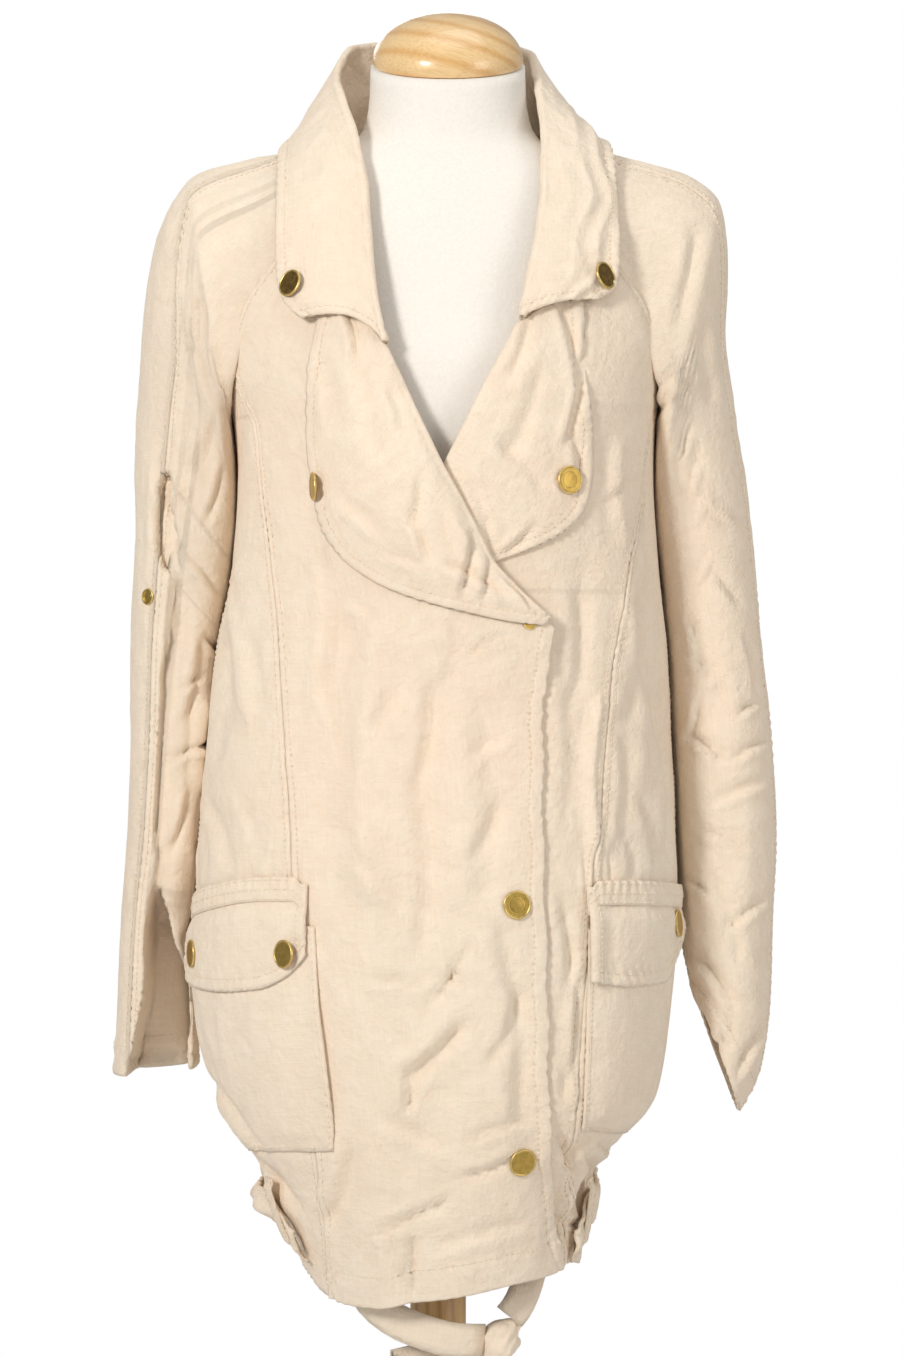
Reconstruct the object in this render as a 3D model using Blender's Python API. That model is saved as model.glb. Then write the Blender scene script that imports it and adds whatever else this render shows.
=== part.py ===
"""A crinkled blouson jacket worn by a limbless dress form on a pole stand.

Metres, +Z up, the wearer faces -Y, and +X is the wearer's left. Tables are in millimetres.
"""

import math

import bpy
import numpy as np

for old in list(bpy.data.objects):
    bpy.data.objects.remove(old, do_unlink=True)

MM = 0.001
CLOTH = 1.2          # thickness of every cloth wall
SEAM = 0.7           # distance from a panel's edge to its seam line
SEAM_TURN = 0.005    # the same distance as a turn round the body
ROLL = 2.6           # radius of a turned-back edge
EDGE_INSIDE = 3.6    # how far a front's edge lies inside the roll that turns round it
OVERLAP = 3.0        # how far the top front stands off the front under it
ROUNDNESS = 0.82     # below 1 the chest is flatter than an ellipse

# Body of the jacket at each height: half widths on the two sides, front and back depths.
BODY_COLUMNS = ("height", "right", "left", "front", "back")
BODY = np.array([
    (585, 96, 94, 114, 96),
    (606, 100, 96, 117, 99),
    (635, 113, 99, 122, 104),
    (674, 129, 106, 129, 112),
    (700, 145, 124, 134, 118),
    (735, 160, 147, 139, 124),
    (780, 173, 155, 143, 127),
    (830, 178, 161, 145, 127),
    (880, 178, 166, 145, 124),
    (930, 175, 165, 143, 120),
    (990, 169, 161, 140, 115),
    (1050, 163, 158, 137, 112),
    (1110, 152, 153, 135, 110),
    (1170, 148, 149, 134, 108),
    (1212, 151, 151, 132, 106),
    (1250, 158, 158, 126, 103),
    (1300, 165, 165, 112, 98),
    (1345, 165, 165, 93, 88),
    (1380, 160, 160, 76, 74),
    (1415, 150, 150, 62, 62),
])

# Largest folds of the body: from (x, height) to (x, height), half width, outward push.
FOLD_COLUMNS = ("x_top", "z_top", "x_low", "z_low", "width", "push")
BODY_FOLDS = np.array([
    (-8, 1020, -16, 830, 16, -3.5),
    (24, 1010, 30, 700, 22, 2.5),
    (-62, 1100, -60, 930, 15, -2.5),
    (-50, 980, -40, 640, 20, 2.5),
    (12, 770, -26, 700, 12, -3.0),
    (96, 1120, 92, 1000, 10, -2.0),
    (-24, 660, -22, 590, 9, -3.5),
])
BACK_WAVES = 5       # soft waves that the belt draws in at the back
WAVE_PUSH = 3.2

# Seam and edge lines on the front, as (x, height) from the photo; x is positive outwards.
PRINCESS_RIGHT = np.array([
    (-78, 604), (-82, 650), (-92, 740), (-101, 850), (-104, 900), (-106, 940),
    (-111, 1000), (-116, 1070), (-121, 1110), (-126, 1155), (-131, 1200), (-145, 1236),
])
PRINCESS_LEFT = np.array([
    (84, 618), (86, 680), (92, 760), (98, 850), (101, 898), (106, 930),
    (109, 970), (115, 1030), (121, 1070), (128, 1110), (137, 1150), (145, 1206),
])
RAGLAN_FRONT = np.array([(151, 1212), (151.5, 1236), (149.5, 1258), (142.5, 1284),
                         (118, 1320), (92, 1352), (69, 1381)])
RAGLAN_BACK = np.array([(151, 1212), (148, 1240), (140, 1275), (122, 1310),
                        (96, 1345), (72, 1378), (50, 1404)])
OVERLAP_EDGE = np.array([(80, 617), (76.5, 640), (72, 680), (70, 740), (68, 830),
                         (66, 900), (65.5, 960), (66, 1010), (71.5, 1066)])
ROLL_RIGHT = np.array([(71.5, 1066), (54, 1084), (31, 1108), (-1, 1173), (-21, 1216), (-38.5, 1255.5)])
ROLL_LEFT = np.array([(-36, 1106), (-1, 1173), (25, 1224), (51, 1274)])
NECKLINE_RIGHT = np.array([(-42.5, 1255.5), (-53.5, 1292), (-61, 1330), (-70.5, 1381)])
NECKLINE_LEFT = np.array([(55, 1274), (61, 1300), (67.5, 1330), (71.5, 1360), (75, 1390)])
HEM_FRONT = np.array([(-100, 606), (-77, 597), (-60, 595), (-45, 595), (-23, 600),
                      (15, 606), (46, 612), (70, 615), (100, 626)])
HEM_BACK = 612


def soft(places, values, at):
    """Values read off a table by a smooth curve that never overshoots them."""
    places = np.asarray(places, float)
    values = np.asarray(values, float)
    at = np.asarray(at, float)
    step = np.diff(places)
    slope = np.diff(values) / step
    tangent = np.zeros(len(places))
    tangent[0], tangent[-1] = slope[0], slope[-1]
    same = slope[:-1] * slope[1:] > 0
    near, far = 2 * step[1:] + step[:-1], step[1:] + 2 * step[:-1]
    with np.errstate(divide="ignore", invalid="ignore"):
        inner = (near + far) / (near / slope[:-1] + far / slope[1:])
    tangent[1:-1] = np.where(same, inner, 0)
    clipped = np.clip(at, places[0], places[-1])
    k = np.clip(np.searchsorted(places, clipped) - 1, 0, len(step) - 1)
    u = (clipped - places[k]) / step[k]
    start = (1 + 2 * u) * (1 - u) ** 2 * values[k] + u * (1 - u) ** 2 * step[k] * tangent[k]
    end = u * u * (3 - 2 * u) * values[k + 1] + u * u * (u - 1) * step[k] * tangent[k + 1]
    return start + end


def body_size(column, height):
    return soft(BODY[:, 0], BODY[:, BODY_COLUMNS.index(column)], height)


def ease(low, high, at):
    """0 below low, 1 above high, smooth between."""
    u = np.clip((np.asarray(at, float) - low) / (high - low), 0, 1)
    return u * u * (3 - 2 * u)


def fold_push(x, height, folds):
    """Outward push of soft ridges and troughs that run along straight lines on the front."""
    push = np.zeros(np.broadcast(x, height).shape)
    for x_top, z_top, x_low, z_low, width, amount in folds:
        along = np.array([x_low - x_top, z_low - z_top])
        length = np.hypot(*along)
        along = along / length
        run = ((x - x_top) * along[0] + (height - z_top) * along[1]) / length
        side = (x - x_top) * along[1] - (height - z_top) * along[0]
        fade = ease(-0.25, 0.25, run) * (1 - ease(0.75, 1.25, run))
        push = push + amount * fade * np.exp(-((side / width) ** 2))
    return push


def gather_push(turn, height):
    """Waves at the back and sides, strongest where the belt draws the cloth in."""
    fade = np.exp(-(((height - 668) / 62) ** 2)) * ease(1.25, 1.8, np.abs(turn))
    return WAVE_PUSH * fade * np.cos(2 * BACK_WAVES * turn)


def body_point(turn, height, out=0.0):
    """Point of the jacket's body; turn 0 is the front middle and out is towards the outside."""
    turn, height, out = np.broadcast_arrays(*(np.asarray(v, float) for v in (turn, height, out)))
    half = np.where(turn < 0, body_size("right", height), body_size("left", height))
    facing = np.cos(turn)
    depth = np.where(facing > 0, body_size("front", height), body_size("back", height))
    x = half * np.sin(turn)
    y = -np.sign(facing) * depth * np.abs(facing) ** ROUNDNESS
    on_front = ease(0.1, 0.5, facing)
    total = out + on_front * fold_push(x, height, BODY_FOLDS) + gather_push(turn, height)
    across = np.sin(turn) * depth
    forward = -np.sign(facing) * half * np.abs(facing) ** (2 - ROUNDNESS)
    length = np.hypot(across, forward) + 1e-9
    return np.stack([x + total * across / length, y + total * forward / length, height], axis=-1)


def turn_at(x, height):
    half = np.where(np.asarray(x) < 0, body_size("right", height), body_size("left", height))
    return np.arcsin(np.clip(x / half, -1, 1))


def front_point(x, height, out=0.0):
    return body_point(turn_at(x, height), height, out)


def line_x(line, height):
    order = np.argsort(line[:, 1])
    return soft(line[order, 1], line[order, 0], height)


def mesh_object(name, points, faces, material):
    mesh = bpy.data.meshes.new(name)
    mesh.from_pydata([tuple(p) for p in np.asarray(points) * MM], [], faces)
    mesh.validate()
    mesh.update()
    for polygon in mesh.polygons:
        polygon.use_smooth = True
    mesh.materials.append(material)
    part = bpy.data.objects.new(name, mesh)
    bpy.context.scene.collection.objects.link(part)
    return part


def grid_normals(mid, around):
    """Unit normals of a grid of points; around means the last column meets the first."""
    if around:
        wide = np.concatenate([mid[:, -1:], mid, mid[:, :1]], axis=1)
        across = wide[:, 2:] - wide[:, :-2]
    else:
        across = np.gradient(mid, axis=1)
    up = np.gradient(mid, axis=0)
    normal = np.cross(across, up)
    return normal / (np.linalg.norm(normal, axis=-1, keepdims=True) + 1e-12)


def wall(name, mid, material, thick=CLOTH, around=False):
    """A closed thin wall about a grid of mid points, rows by columns, with its normals outwards."""
    mid = np.asarray(mid, float)
    rows, columns = mid.shape[:2]
    normal = grid_normals(mid, around)
    outer = mid + normal * thick / 2
    inner = mid - normal * thick / 2
    points = np.concatenate([outer.reshape(-1, 3), inner.reshape(-1, 3)])
    layer = rows * columns
    last = columns if around else columns - 1

    def at(row, column, side):
        return side * layer + row * columns + column % columns

    faces = []
    for r in range(rows - 1):
        for c in range(last):
            faces.append((at(r, c, 0), at(r, c + 1, 0), at(r + 1, c + 1, 0), at(r + 1, c, 0)))
            faces.append((at(r, c, 1), at(r + 1, c, 1), at(r + 1, c + 1, 1), at(r, c + 1, 1)))
    for c in range(last):
        faces.append((at(0, c, 1), at(0, c + 1, 1), at(0, c + 1, 0), at(0, c, 0)))
        top = rows - 1
        faces.append((at(top, c, 0), at(top, c + 1, 0), at(top, c + 1, 1), at(top, c, 1)))
    if not around:
        end = columns - 1
        for r in range(rows - 1):
            faces.append((at(r, 0, 0), at(r + 1, 0, 0), at(r + 1, 0, 1), at(r, 0, 1)))
            faces.append((at(r, end, 1), at(r + 1, end, 1), at(r + 1, end, 0), at(r, end, 0)))
    return mesh_object(name, points, faces, material)


def material(name, colour, roughness=0.8, metallic=0.0):
    made = bpy.data.materials.new(name)
    made.use_nodes = True
    shader = made.node_tree.nodes["Principled BSDF"]
    shader.inputs["Base Color"].default_value = (*colour, 1)
    shader.inputs["Roughness"].default_value = roughness
    shader.inputs["Metallic"].default_value = metallic
    return made


linen = material("linen", (0.87, 0.76, 0.62))
jersey = material("jersey", (0.93, 0.89, 0.81))
cap_wood = material("cap_wood", (0.80, 0.58, 0.34), 0.35)
pole_wood = material("pole_wood", (0.66, 0.43, 0.22), 0.5)
antique_brass = material("antique_brass", (0.45, 0.31, 0.09), 0.35, 1.0)


# ---------------------------------------------------------------- dress form

FORM_MIDDLE = 2.0    # the neck sits a little to the wearer's left of the jacket's middle
POLE_X = -5.0
RIM_SLOPE = 0.36     # the neck is cut sloping down to the front
FORM_COLUMNS = ("height", "half", "front", "back")
FORM = np.array([
    (766, 142, 96, 94), (770, 148, 101, 99), (800, 149, 103, 103), (850, 146, 99, 101),
    (910, 134, 90, 90), (970, 120, 82, 82), (1030, 116, 82, 80), (1090, 120, 95, 84),
    (1140, 128, 110, 88), (1190, 133, 117, 90), (1240, 138, 112, 90), (1290, 148, 98, 84),
    (1337, 153.5, 84, 76), (1371, 145, 72, 67), (1390, 117, 63, 62), (1404, 87, 56, 57),
    (1420, 62, 53, 55), (1445, 56.5, 53, 54), (1471, 55.5, 53, 54),
])


def closed_turned(name, rings, material):
    """A closed solid through a stack of rings, each an array of points, lowest first."""
    rings = np.asarray(rings, float)
    count, sides = rings.shape[:2]
    points = np.concatenate([rings.reshape(-1, 3), rings[0].mean(0)[None], rings[-1].mean(0)[None]])
    low, high = count * sides, count * sides + 1
    faces = []
    for r in range(count - 1):
        for c in range(sides):
            d = (c + 1) % sides
            faces.append((r * sides + c, r * sides + d, (r + 1) * sides + d, (r + 1) * sides + c))
    top = (count - 1) * sides
    for c in range(sides):
        d = (c + 1) % sides
        faces.append((low, d, c))
        faces.append((high, top + c, top + d))
    return mesh_object(name, points, faces, material)


def form_ring(height, slope, sides=22):
    angle = np.arange(sides) * 2 * math.pi / sides
    half, front, back = (soft(FORM[:, 0], FORM[:, k], height) for k in (1, 2, 3))
    facing = np.cos(angle)
    x = FORM_MIDDLE + half * np.sign(np.sin(angle)) * np.abs(np.sin(angle)) ** 0.92
    y = -np.where(facing > 0, front, back) * np.sign(facing) * np.abs(facing) ** 0.9
    return np.stack([x, y, height + slope * y], axis=-1)


FORM_HEIGHTS = np.concatenate([FORM[:, 0], [0.5 * (1240 + 1290)]])
FORM_HEIGHTS.sort()
closed_turned("form_body",
              [form_ring(h, RIM_SLOPE * ease(1385, 1471, h)) for h in FORM_HEIGHTS], jersey)

CAP_PROFILE = np.array([(53.0, 0.4), (54.2, 1.5), (54.4, 10), (53.0, 16), (48.5, 24),
                        (40.5, 30.5), (29, 35), (15, 37.4)])   # radius, rise above the neck


def cap_rings(sides=24):
    tilt = math.atan(RIM_SLOPE)
    angle = np.arange(sides) * 2 * math.pi / sides
    for radius, rise in CAP_PROFILE:
        x = radius * np.sin(angle)
        y = -radius * np.cos(angle)
        yield np.stack([FORM_MIDDLE + x,
                        y * math.cos(tilt) - rise * math.sin(tilt),
                        1471 + y * math.sin(tilt) + rise * math.cos(tilt)], axis=-1)


closed_turned("neck_cap", list(cap_rings()), cap_wood)


def upright(name, profile, x, sides, material):
    angle = np.arange(sides) * 2 * math.pi / sides
    rings = [np.stack([x + r * np.sin(angle), -r * np.cos(angle), np.full(sides, z)], axis=-1)
             for r, z in profile]
    return closed_turned(name, rings, material)


BASE_HEIGHT = 26
upright("stand_base", [(172, 0), (175, 3), (175, 17), (168, 24), (150, BASE_HEIGHT)],
        POLE_X, 32, pole_wood)
upright("pole", [(20, BASE_HEIGHT + 0.3), (20, 765.7)], POLE_X, 20, pole_wood)


# ---------------------------------------------------------------- body panels

def hem_at(x):
    return soft(HEM_FRONT[:, 0], HEM_FRONT[:, 1], x)


def front_panel(heights, low_x, high_x, columns, out, clear_low, clear_high):
    """A panel of the front between two lines, with rows at the given heights."""
    share = np.linspace(0, 1, columns)[None]
    rows = np.asarray(heights, float)[:, None]
    fade = 1 - ease(0, 1, (rows - rows[0]) / 90)
    height = rows + 0 * share
    for _ in range(3):
        left = turn_at(low_x(height), height) + clear_low
        right = turn_at(high_x(height), height) - clear_high
        turn = left + (right - left) * share
        height = rows + fade * (hem_at(body_point(turn, height)[..., 0]) - rows[0])
    return body_point(turn, height, out(turn, height))


def top_front_out(turn, height):
    """The top front stands off the front under it, more where it crosses the lapel below."""
    x = body_size("right", height) * np.sin(turn)
    crossing = ease(-60, -10, x) * ease(1010, 1075, height) * (1 - ease(1185, 1235, height))
    return OVERLAP * ease(-105, -60, x) + 6.5 * crossing


def right_front_outer(height):
    low = line_x(PRINCESS_RIGHT, height)
    high = -line_x(RAGLAN_FRONT, height) + SEAM
    return np.where(height < 1236, low, high)


def right_front_inner(height):
    return np.where(height < 1066, line_x(OVERLAP_EDGE, height),
                    np.where(height < 1255.5, line_x(ROLL_RIGHT, height) - EDGE_INSIDE,
                             line_x(NECKLINE_RIGHT, height) - SEAM))


def left_front_outer(height):
    low = line_x(PRINCESS_LEFT, height)
    high = line_x(RAGLAN_FRONT, height) - SEAM
    return np.where(height < 1215, np.minimum(low, high), high)


def left_front_inner(height):
    hidden = np.full(np.shape(height), -44.0)
    return np.where(height < 1090, hidden,
                    np.where(height < 1274, line_x(ROLL_LEFT, height) + EDGE_INSIDE,
                             line_x(NECKLINE_LEFT, height) + SEAM))


RIGHT_ROWS = np.concatenate([np.linspace(606, 700, 5), np.linspace(730, 1030, 10),
                             [1056, 1066, 1080, 1096, 1114, 1132, 1150, 1173, 1195, 1206, 1220,
                              1236, 1255.5, 1275, 1297, 1320, 1345, 1367]])
FRONT_RIGHT = front_panel(RIGHT_ROWS, right_front_outer, right_front_inner, 11, top_front_out,
                          SEAM_TURN, 0)
wall("front_right", FRONT_RIGHT, linen)

LEFT_ROWS = np.concatenate([np.linspace(606, 700, 5), np.linspace(730, 1040, 10),
                            [1065, 1090, 1106, 1128, 1150, 1173, 1195, 1206, 1218, 1232,
                             1252, 1274, 1297, 1320, 1345, 1365]])
FRONT_LEFT = front_panel(LEFT_ROWS, left_front_inner, left_front_outer, 9, lambda t, z: 0 * t,
                         0, SEAM_TURN)
wall("front_left", FRONT_LEFT, linen)


def side_panel(sign, columns=5, rows=22):
    """The side front, from the side seam round to the princess seam."""
    princess = PRINCESS_RIGHT if sign < 0 else PRINCESS_LEFT
    top_inner = 1236 if sign < 0 else 1206
    share = np.linspace(0, 1, columns)[None]
    rise = np.linspace(0, 1, rows)[:, None]
    top = 1206 + (top_inner - 18 - 1206) * share ** 1.5
    low = HEM_BACK + (hem_at(line_x(princess, 620)) - HEM_BACK) * ease(0.2, 1, share)
    height = low + rise * (top - low)
    inner = np.abs(turn_at(line_x(princess, height), height)) + SEAM_TURN
    outer = math.pi / 2 - SEAM_TURN
    turn = outer + (inner - outer) * share
    grid = body_point(sign * turn, height, 0)
    return grid if sign < 0 else grid[:, ::-1]


wall("side_front_right", side_panel(-1), linen)
wall("side_front_left", side_panel(1), linen)


def back_panel(columns=23):
    """The back between the side seams, and above them between the raglan seams."""
    heights = np.concatenate([np.linspace(HEM_BACK, 720, 7), np.linspace(760, 1180, 8),
                              [1209, 1240, 1275, 1310, 1345, 1375, 1400]])[:, None]
    share = np.linspace(-1, 1, columns)[None]
    half = line_x(RAGLAN_BACK, heights) - 3 * SEAM
    side = math.pi - np.arcsin(np.clip(half / body_size("left", heights), 0, 1))
    start = np.where(heights <= 1210, math.pi / 2 + SEAM_TURN, side)
    turn = math.pi + share * (math.pi - start)
    turn = np.where(turn > math.pi, turn - 2 * math.pi, turn)
    neck = 6 * ease(1345, 1400, heights) * (share ** 2)
    return body_point(turn, heights + neck, 0)


wall("back", back_panel(), linen)


# ---------------------------------------------------------------- sleeves

def resample(points, count):
    points = np.asarray(points, float)
    run = np.concatenate([[0], np.cumsum(np.linalg.norm(np.diff(points, axis=0), axis=1))])
    at = np.linspace(0, run[-1], count)
    return np.stack([soft(run, points[:, k], at) for k in range(3)], axis=-1)


def raglan_ring(half_count):
    """The seam a sleeve starts on, for x >= 0: over the shoulder at 0, front, underarm, back."""
    neck_top = (82.0, 2.0, 1417.0)
    clear_front = [2.6, 2.4, 2.2, 2.0, 1.8, 1.6, 1.4]
    clear_back = [2.6, 2.4, 2.2, 2.2, 2.4, 3.0, 3.6]
    front = [front_point(x + c, z) for (x, z), c in zip(RAGLAN_FRONT, clear_front)]
    back = []
    for (x, z), c in zip(RAGLAN_BACK, clear_back):
        turn = math.pi - np.arcsin(min(1, (x + c) / body_size("left", z)))
        back.append(body_point(turn, z))
    front[0] = np.array([153.4, 0, 1213.5])
    back[0] = front[0]
    front_run = [neck_top, (76, -36, 1403)] + [tuple(p) for p in front[::-1]]
    back_run = [tuple(p) for p in back] + [(68, 44, 1413), neck_top]
    ahead = resample(front_run, half_count + 1)
    behind = resample(back_run, half_count + 1)
    return np.concatenate([ahead, behind[1:-1]])


# Rings of the sleeves: top or outer point, underarm or inner point, half depth, middle y.
SLEEVE_COLUMNS = ("x_out", "z_out", "x_in", "z_in", "depth", "middle_y")
SLEEVE_RIGHT = np.array([
    (120, 1405, 161, 1213, 69, 3),
    (184, 1386, 160, 1203, 66, 5),
    (204, 1354, 158.5, 1186, 64, 7),
    (213.5, 1318, 156, 1164, 62, 16),
    (220, 1270, 152.5, 1140, 60, 24),
    (224, 1210, 153.5, 1110, 57, 29),
    (226, 1130, 162.5, 1058, 54, 33),
    (229, 1065, 167, 1015, 52, 35),
    (228.5, 1000, 171.5, 968, 52, 36),
    (230.5, 920, 177.5, 905, 53, 36),
    (235, 862, 183, 854, 54, 36),
    (237.5, 805, 184, 802, 54, 34),
    (240.5, 750, 181, 756, 54, 32),
])
SLEEVE_LEFT = np.array([
    (120, 1405, 158.5, 1213, 69, 3),
    (176, 1389, 157, 1203, 66, 5),
    (198, 1370, 154.5, 1186, 64, 7),
    (203.5, 1330, 152, 1164, 62, 16),
    (202.5, 1285, 150.8, 1140, 60, 24),
    (209, 1225, 154, 1110, 57, 28),
    (221, 1145, 159, 1058, 55, 31),
    (229, 1060, 162, 1015, 54, 31),
    (237, 985, 165, 965, 54, 30),
    (240, 915, 168, 905, 53, 28),
    (237, 855, 169.5, 860, 52, 25),
    (235, 800, 174, 830, 49, 22),
    (228, 748, 180, 806, 45, 18),
    (212, 716, 186, 790, 41, 15),
])


def sleeve_grid(table, sign, half_count=9, rows=20):
    """Rings of a sleeve from its raglan seam to its cuff, in the order of raglan_ring."""
    count = 2 * half_count
    angle = np.arange(count) * 2 * math.pi / count
    first = raglan_ring(half_count)
    rings = [first]
    for x_out, z_out, x_in, z_in, depth, middle in table:
        centre = np.array([(x_out + x_in) / 2, middle, (z_out + z_in) / 2])
        arm = np.array([x_out, middle, z_out]) - centre
        ring = centre + np.cos(angle)[:, None] * arm
        ring[:, 1] -= depth * np.sin(angle)
        rings.append(ring)
    rings = np.array(rings)
    centres = rings.mean(1)
    run = np.concatenate([[0], np.cumsum(np.linalg.norm(np.diff(centres, axis=0), axis=1))])
    share = np.linspace(0, 1, rows) ** 1.12 * run[-1]
    grid = np.zeros((rows, count, 3))
    for c in range(count):
        for k in range(3):
            grid[:, c, k] = soft(run, rings[:, c, k], share)
    grid[..., 0] *= sign
    return grid


def front_groove(grid):
    """The deep upright fold in the front of the right sleeve, widest at its cuff."""
    x, y, z = grid[..., 0], grid[..., 1], grid[..., 2]
    depth = 30 * (1 - ease(760, 1060, z)) + 6 * (1 - ease(1000, 1110, z))
    width = 9 + 7 * (1 - ease(760, 900, z))
    middle = -201 - 6 * (1 - ease(760, 1000, z))
    pull = depth * np.exp(-(((x - middle) / width) ** 2)) * (y < 20)
    moved = grid.copy()
    moved[..., 1] = y + pull
    return moved


SLEEVES = {}


def sleeve_halves(side, table, sign):
    half_count = 9
    grid = sleeve_grid(table, sign, half_count)
    if sign < 0:
        grid = front_groove(grid)
    front = grid[:, :half_count + 1]
    back = np.concatenate([grid[:, half_count:], grid[:, :1]], axis=1)
    for name, part in (("sleeve_front_" + side, front), ("sleeve_back_" + side, back)):
        part = part.copy()
        for edge, inner in ((0, 1), (-1, -2)):
            step = part[:, inner] - part[:, edge]
            part[:, edge] += step * SEAM / np.linalg.norm(step, axis=-1, keepdims=True)
        part = part[:, ::-1] if sign > 0 else part
        SLEEVES[name] = part
        wall(name, part, linen)


sleeve_halves("right", SLEEVE_RIGHT, -1)
sleeve_halves("left", SLEEVE_LEFT, 1)


# ---------------------------------------------------------------- lapels and collar

# Roll line and outer edge of each lapel from the collar's notch down, and the puff between them.
LAPEL_COLUMNS = ("roll_x", "roll_z", "edge_x", "edge_z", "puff")
LAPEL_RIGHT = np.array([
    (-38.5, 1253.5, -84, 1280, 0.6), (-30, 1236, -92, 1238, 2.5), (-21, 1216, -93, 1198, 6),
    (-11, 1195, -89, 1163, 9), (-1, 1173, -83, 1135, 10.5), (10, 1152, -69, 1112, 10.5),
    (21, 1130, -43, 1093, 9), (32.5, 1106.5, -12, 1081, 7), (46, 1092, 18, 1073, 4.5),
    (58, 1079.5, 43, 1067.5, 2), (68, 1070, 63, 1065, 0.4),
])
LAPEL_LEFT = np.array([
    (51, 1272, 94, 1292, 0.5), (42, 1256, 96.5, 1262, 1.2), (32, 1238, 97, 1232, 2),
    (22, 1219, 99.5, 1200, 2.2), (12, 1199, 99.7, 1172, 2.2), (2, 1179, 95, 1146, 2),
    (-7, 1161, 82, 1130, 1.6), (-16, 1144, 58, 1117, 1.2), (-24, 1129, 34, 1108, 0.6),
    (-30.5, 1116, 6, 1102, 0.3), (-34, 1108.5, -18, 1102, 0),
])
TURN_PROFILE = np.array([(10, -1.0), (1.0, -1.0), (0.29, -0.71), (0, 0), (0.29, 0.71), (1.0, 1.0)])
# distance past the roll line, in roll radii after the first, and height in roll radii


def lapel(table, base_out, top_bow, across=6, rows=16):
    """A facing: a short run inside the front, round its edge, and turned back over it."""
    places = np.arange(len(table))
    at = np.linspace(0, len(table) - 1, rows)
    roll_x, roll_z, edge_x, edge_z, puff = (soft(places, table[:, k], at) for k in range(5))
    grid = []
    for i in range(rows):
        run = np.array([edge_x[i] - roll_x[i], edge_z[i] - roll_z[i]])
        length = np.hypot(*run)
        run = run / length
        line = []
        for k, (past, lift) in enumerate(TURN_PROFILE):
            s = min(past, 0.8 * length) if k == 0 else min(past * ROLL, 0.5 * length)
            line.append((s, lift * ROLL))
        start = line[-1][0]
        for b in np.linspace(0, 1, across + 1)[1:]:
            rise = puff[i] * math.sin(math.pi * b ** 0.8) ** 0.8 if b < 1 else 0
            line.append((start + (length - start) * b, ROLL + rise))
        for s, o in line:
            bow = top_bow * math.sin(math.pi * min(1, s / length)) * (1 - ease(0, 3.5, at[i]))
            x, z = roll_x[i] + run[0] * s, roll_z[i] + run[1] * s + bow
            turn = turn_at(x, z)
            grid.append(body_point(turn, z, base_out(turn, z) + o))
    return np.array(grid).reshape(rows, -1, 3)


LAPELS = {"right": lapel(LAPEL_RIGHT, top_front_out, 15)[:, ::-1],
          "left": lapel(LAPEL_LEFT, lambda t, z: 0 * t, 5)[::-1, ::-1][:, ::-1]}
for side, grid in LAPELS.items():
    wall("lapel_" + side, grid, linen)

# The collar from each notch to the middle of the back: roll line, outer edge, seam with the neck.
COLLAR_COLUMNS = ("roll_x", "roll_y", "roll_z", "edge_x", "edge_y", "edge_z",
                  "seam_x", "seam_y", "seam_z")
COLLAR_RIGHT = np.array([
    (-39, -127.5, 1258, -98, -111, 1276, -43, -124, 1260),
    (-43, -121.5, 1278, -110, -103, 1287, -49.5, -116, 1286),
    (-47, -113, 1300, -116, -94, 1305, -54.5, -105, 1312),
    (-51.5, -94, 1340, -117.5, -81, 1335, -61, -87, 1347),
    (-55.5, -76, 1379, -118, -58, 1372, -68, -69, 1381),
    (-62, -54, 1411, -118.5, -26, 1402, -72, -38, 1407),
    (-71.5, -26, 1441, -116, 8, 1412, -77, -10, 1420),
    (-76.5, 6, 1464, -112, 40, 1411, -76, 18, 1422),
    (-68, 42, 1491, -92, 78, 1404, -64, 44, 1419),
    (-42, 67, 1499, -54, 102, 1398, -40, 61, 1414),
    (0, 78, 1501, 0, 112, 1396, 0, 69, 1412),
])
COLLAR_LEFT = np.array([
    (51, -119.5, 1276, 106, -101, 1290, 52.5, -117, 1278),
    (57, -107, 1308, 118, -93, 1300, 58.5, -105, 1309),
    (63, -94, 1337, 121, -86, 1320, 65, -91.5, 1337),
    (66.5, -78, 1371, 121.5, -70, 1352, 69.5, -74, 1371),
    (67.5, -52, 1410, 120, -49, 1387, 71, -54, 1396),
    (66.5, -28, 1436, 116, -11, 1411, 76, -22, 1414),
    (65, 6, 1463, 108, 34, 1411, 74, 10, 1423),
    (62, 38, 1486, 90, 72, 1404, 64, 42, 1419),
    (42, 66, 1496, 54, 101, 1398, 40, 61, 1414),
    (0, 78, 1501, 0, 112, 1396, 0, 69, 1412),
])
COLLAR_ROLL = 3.2
FALL_PUFF = 5.0


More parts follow.
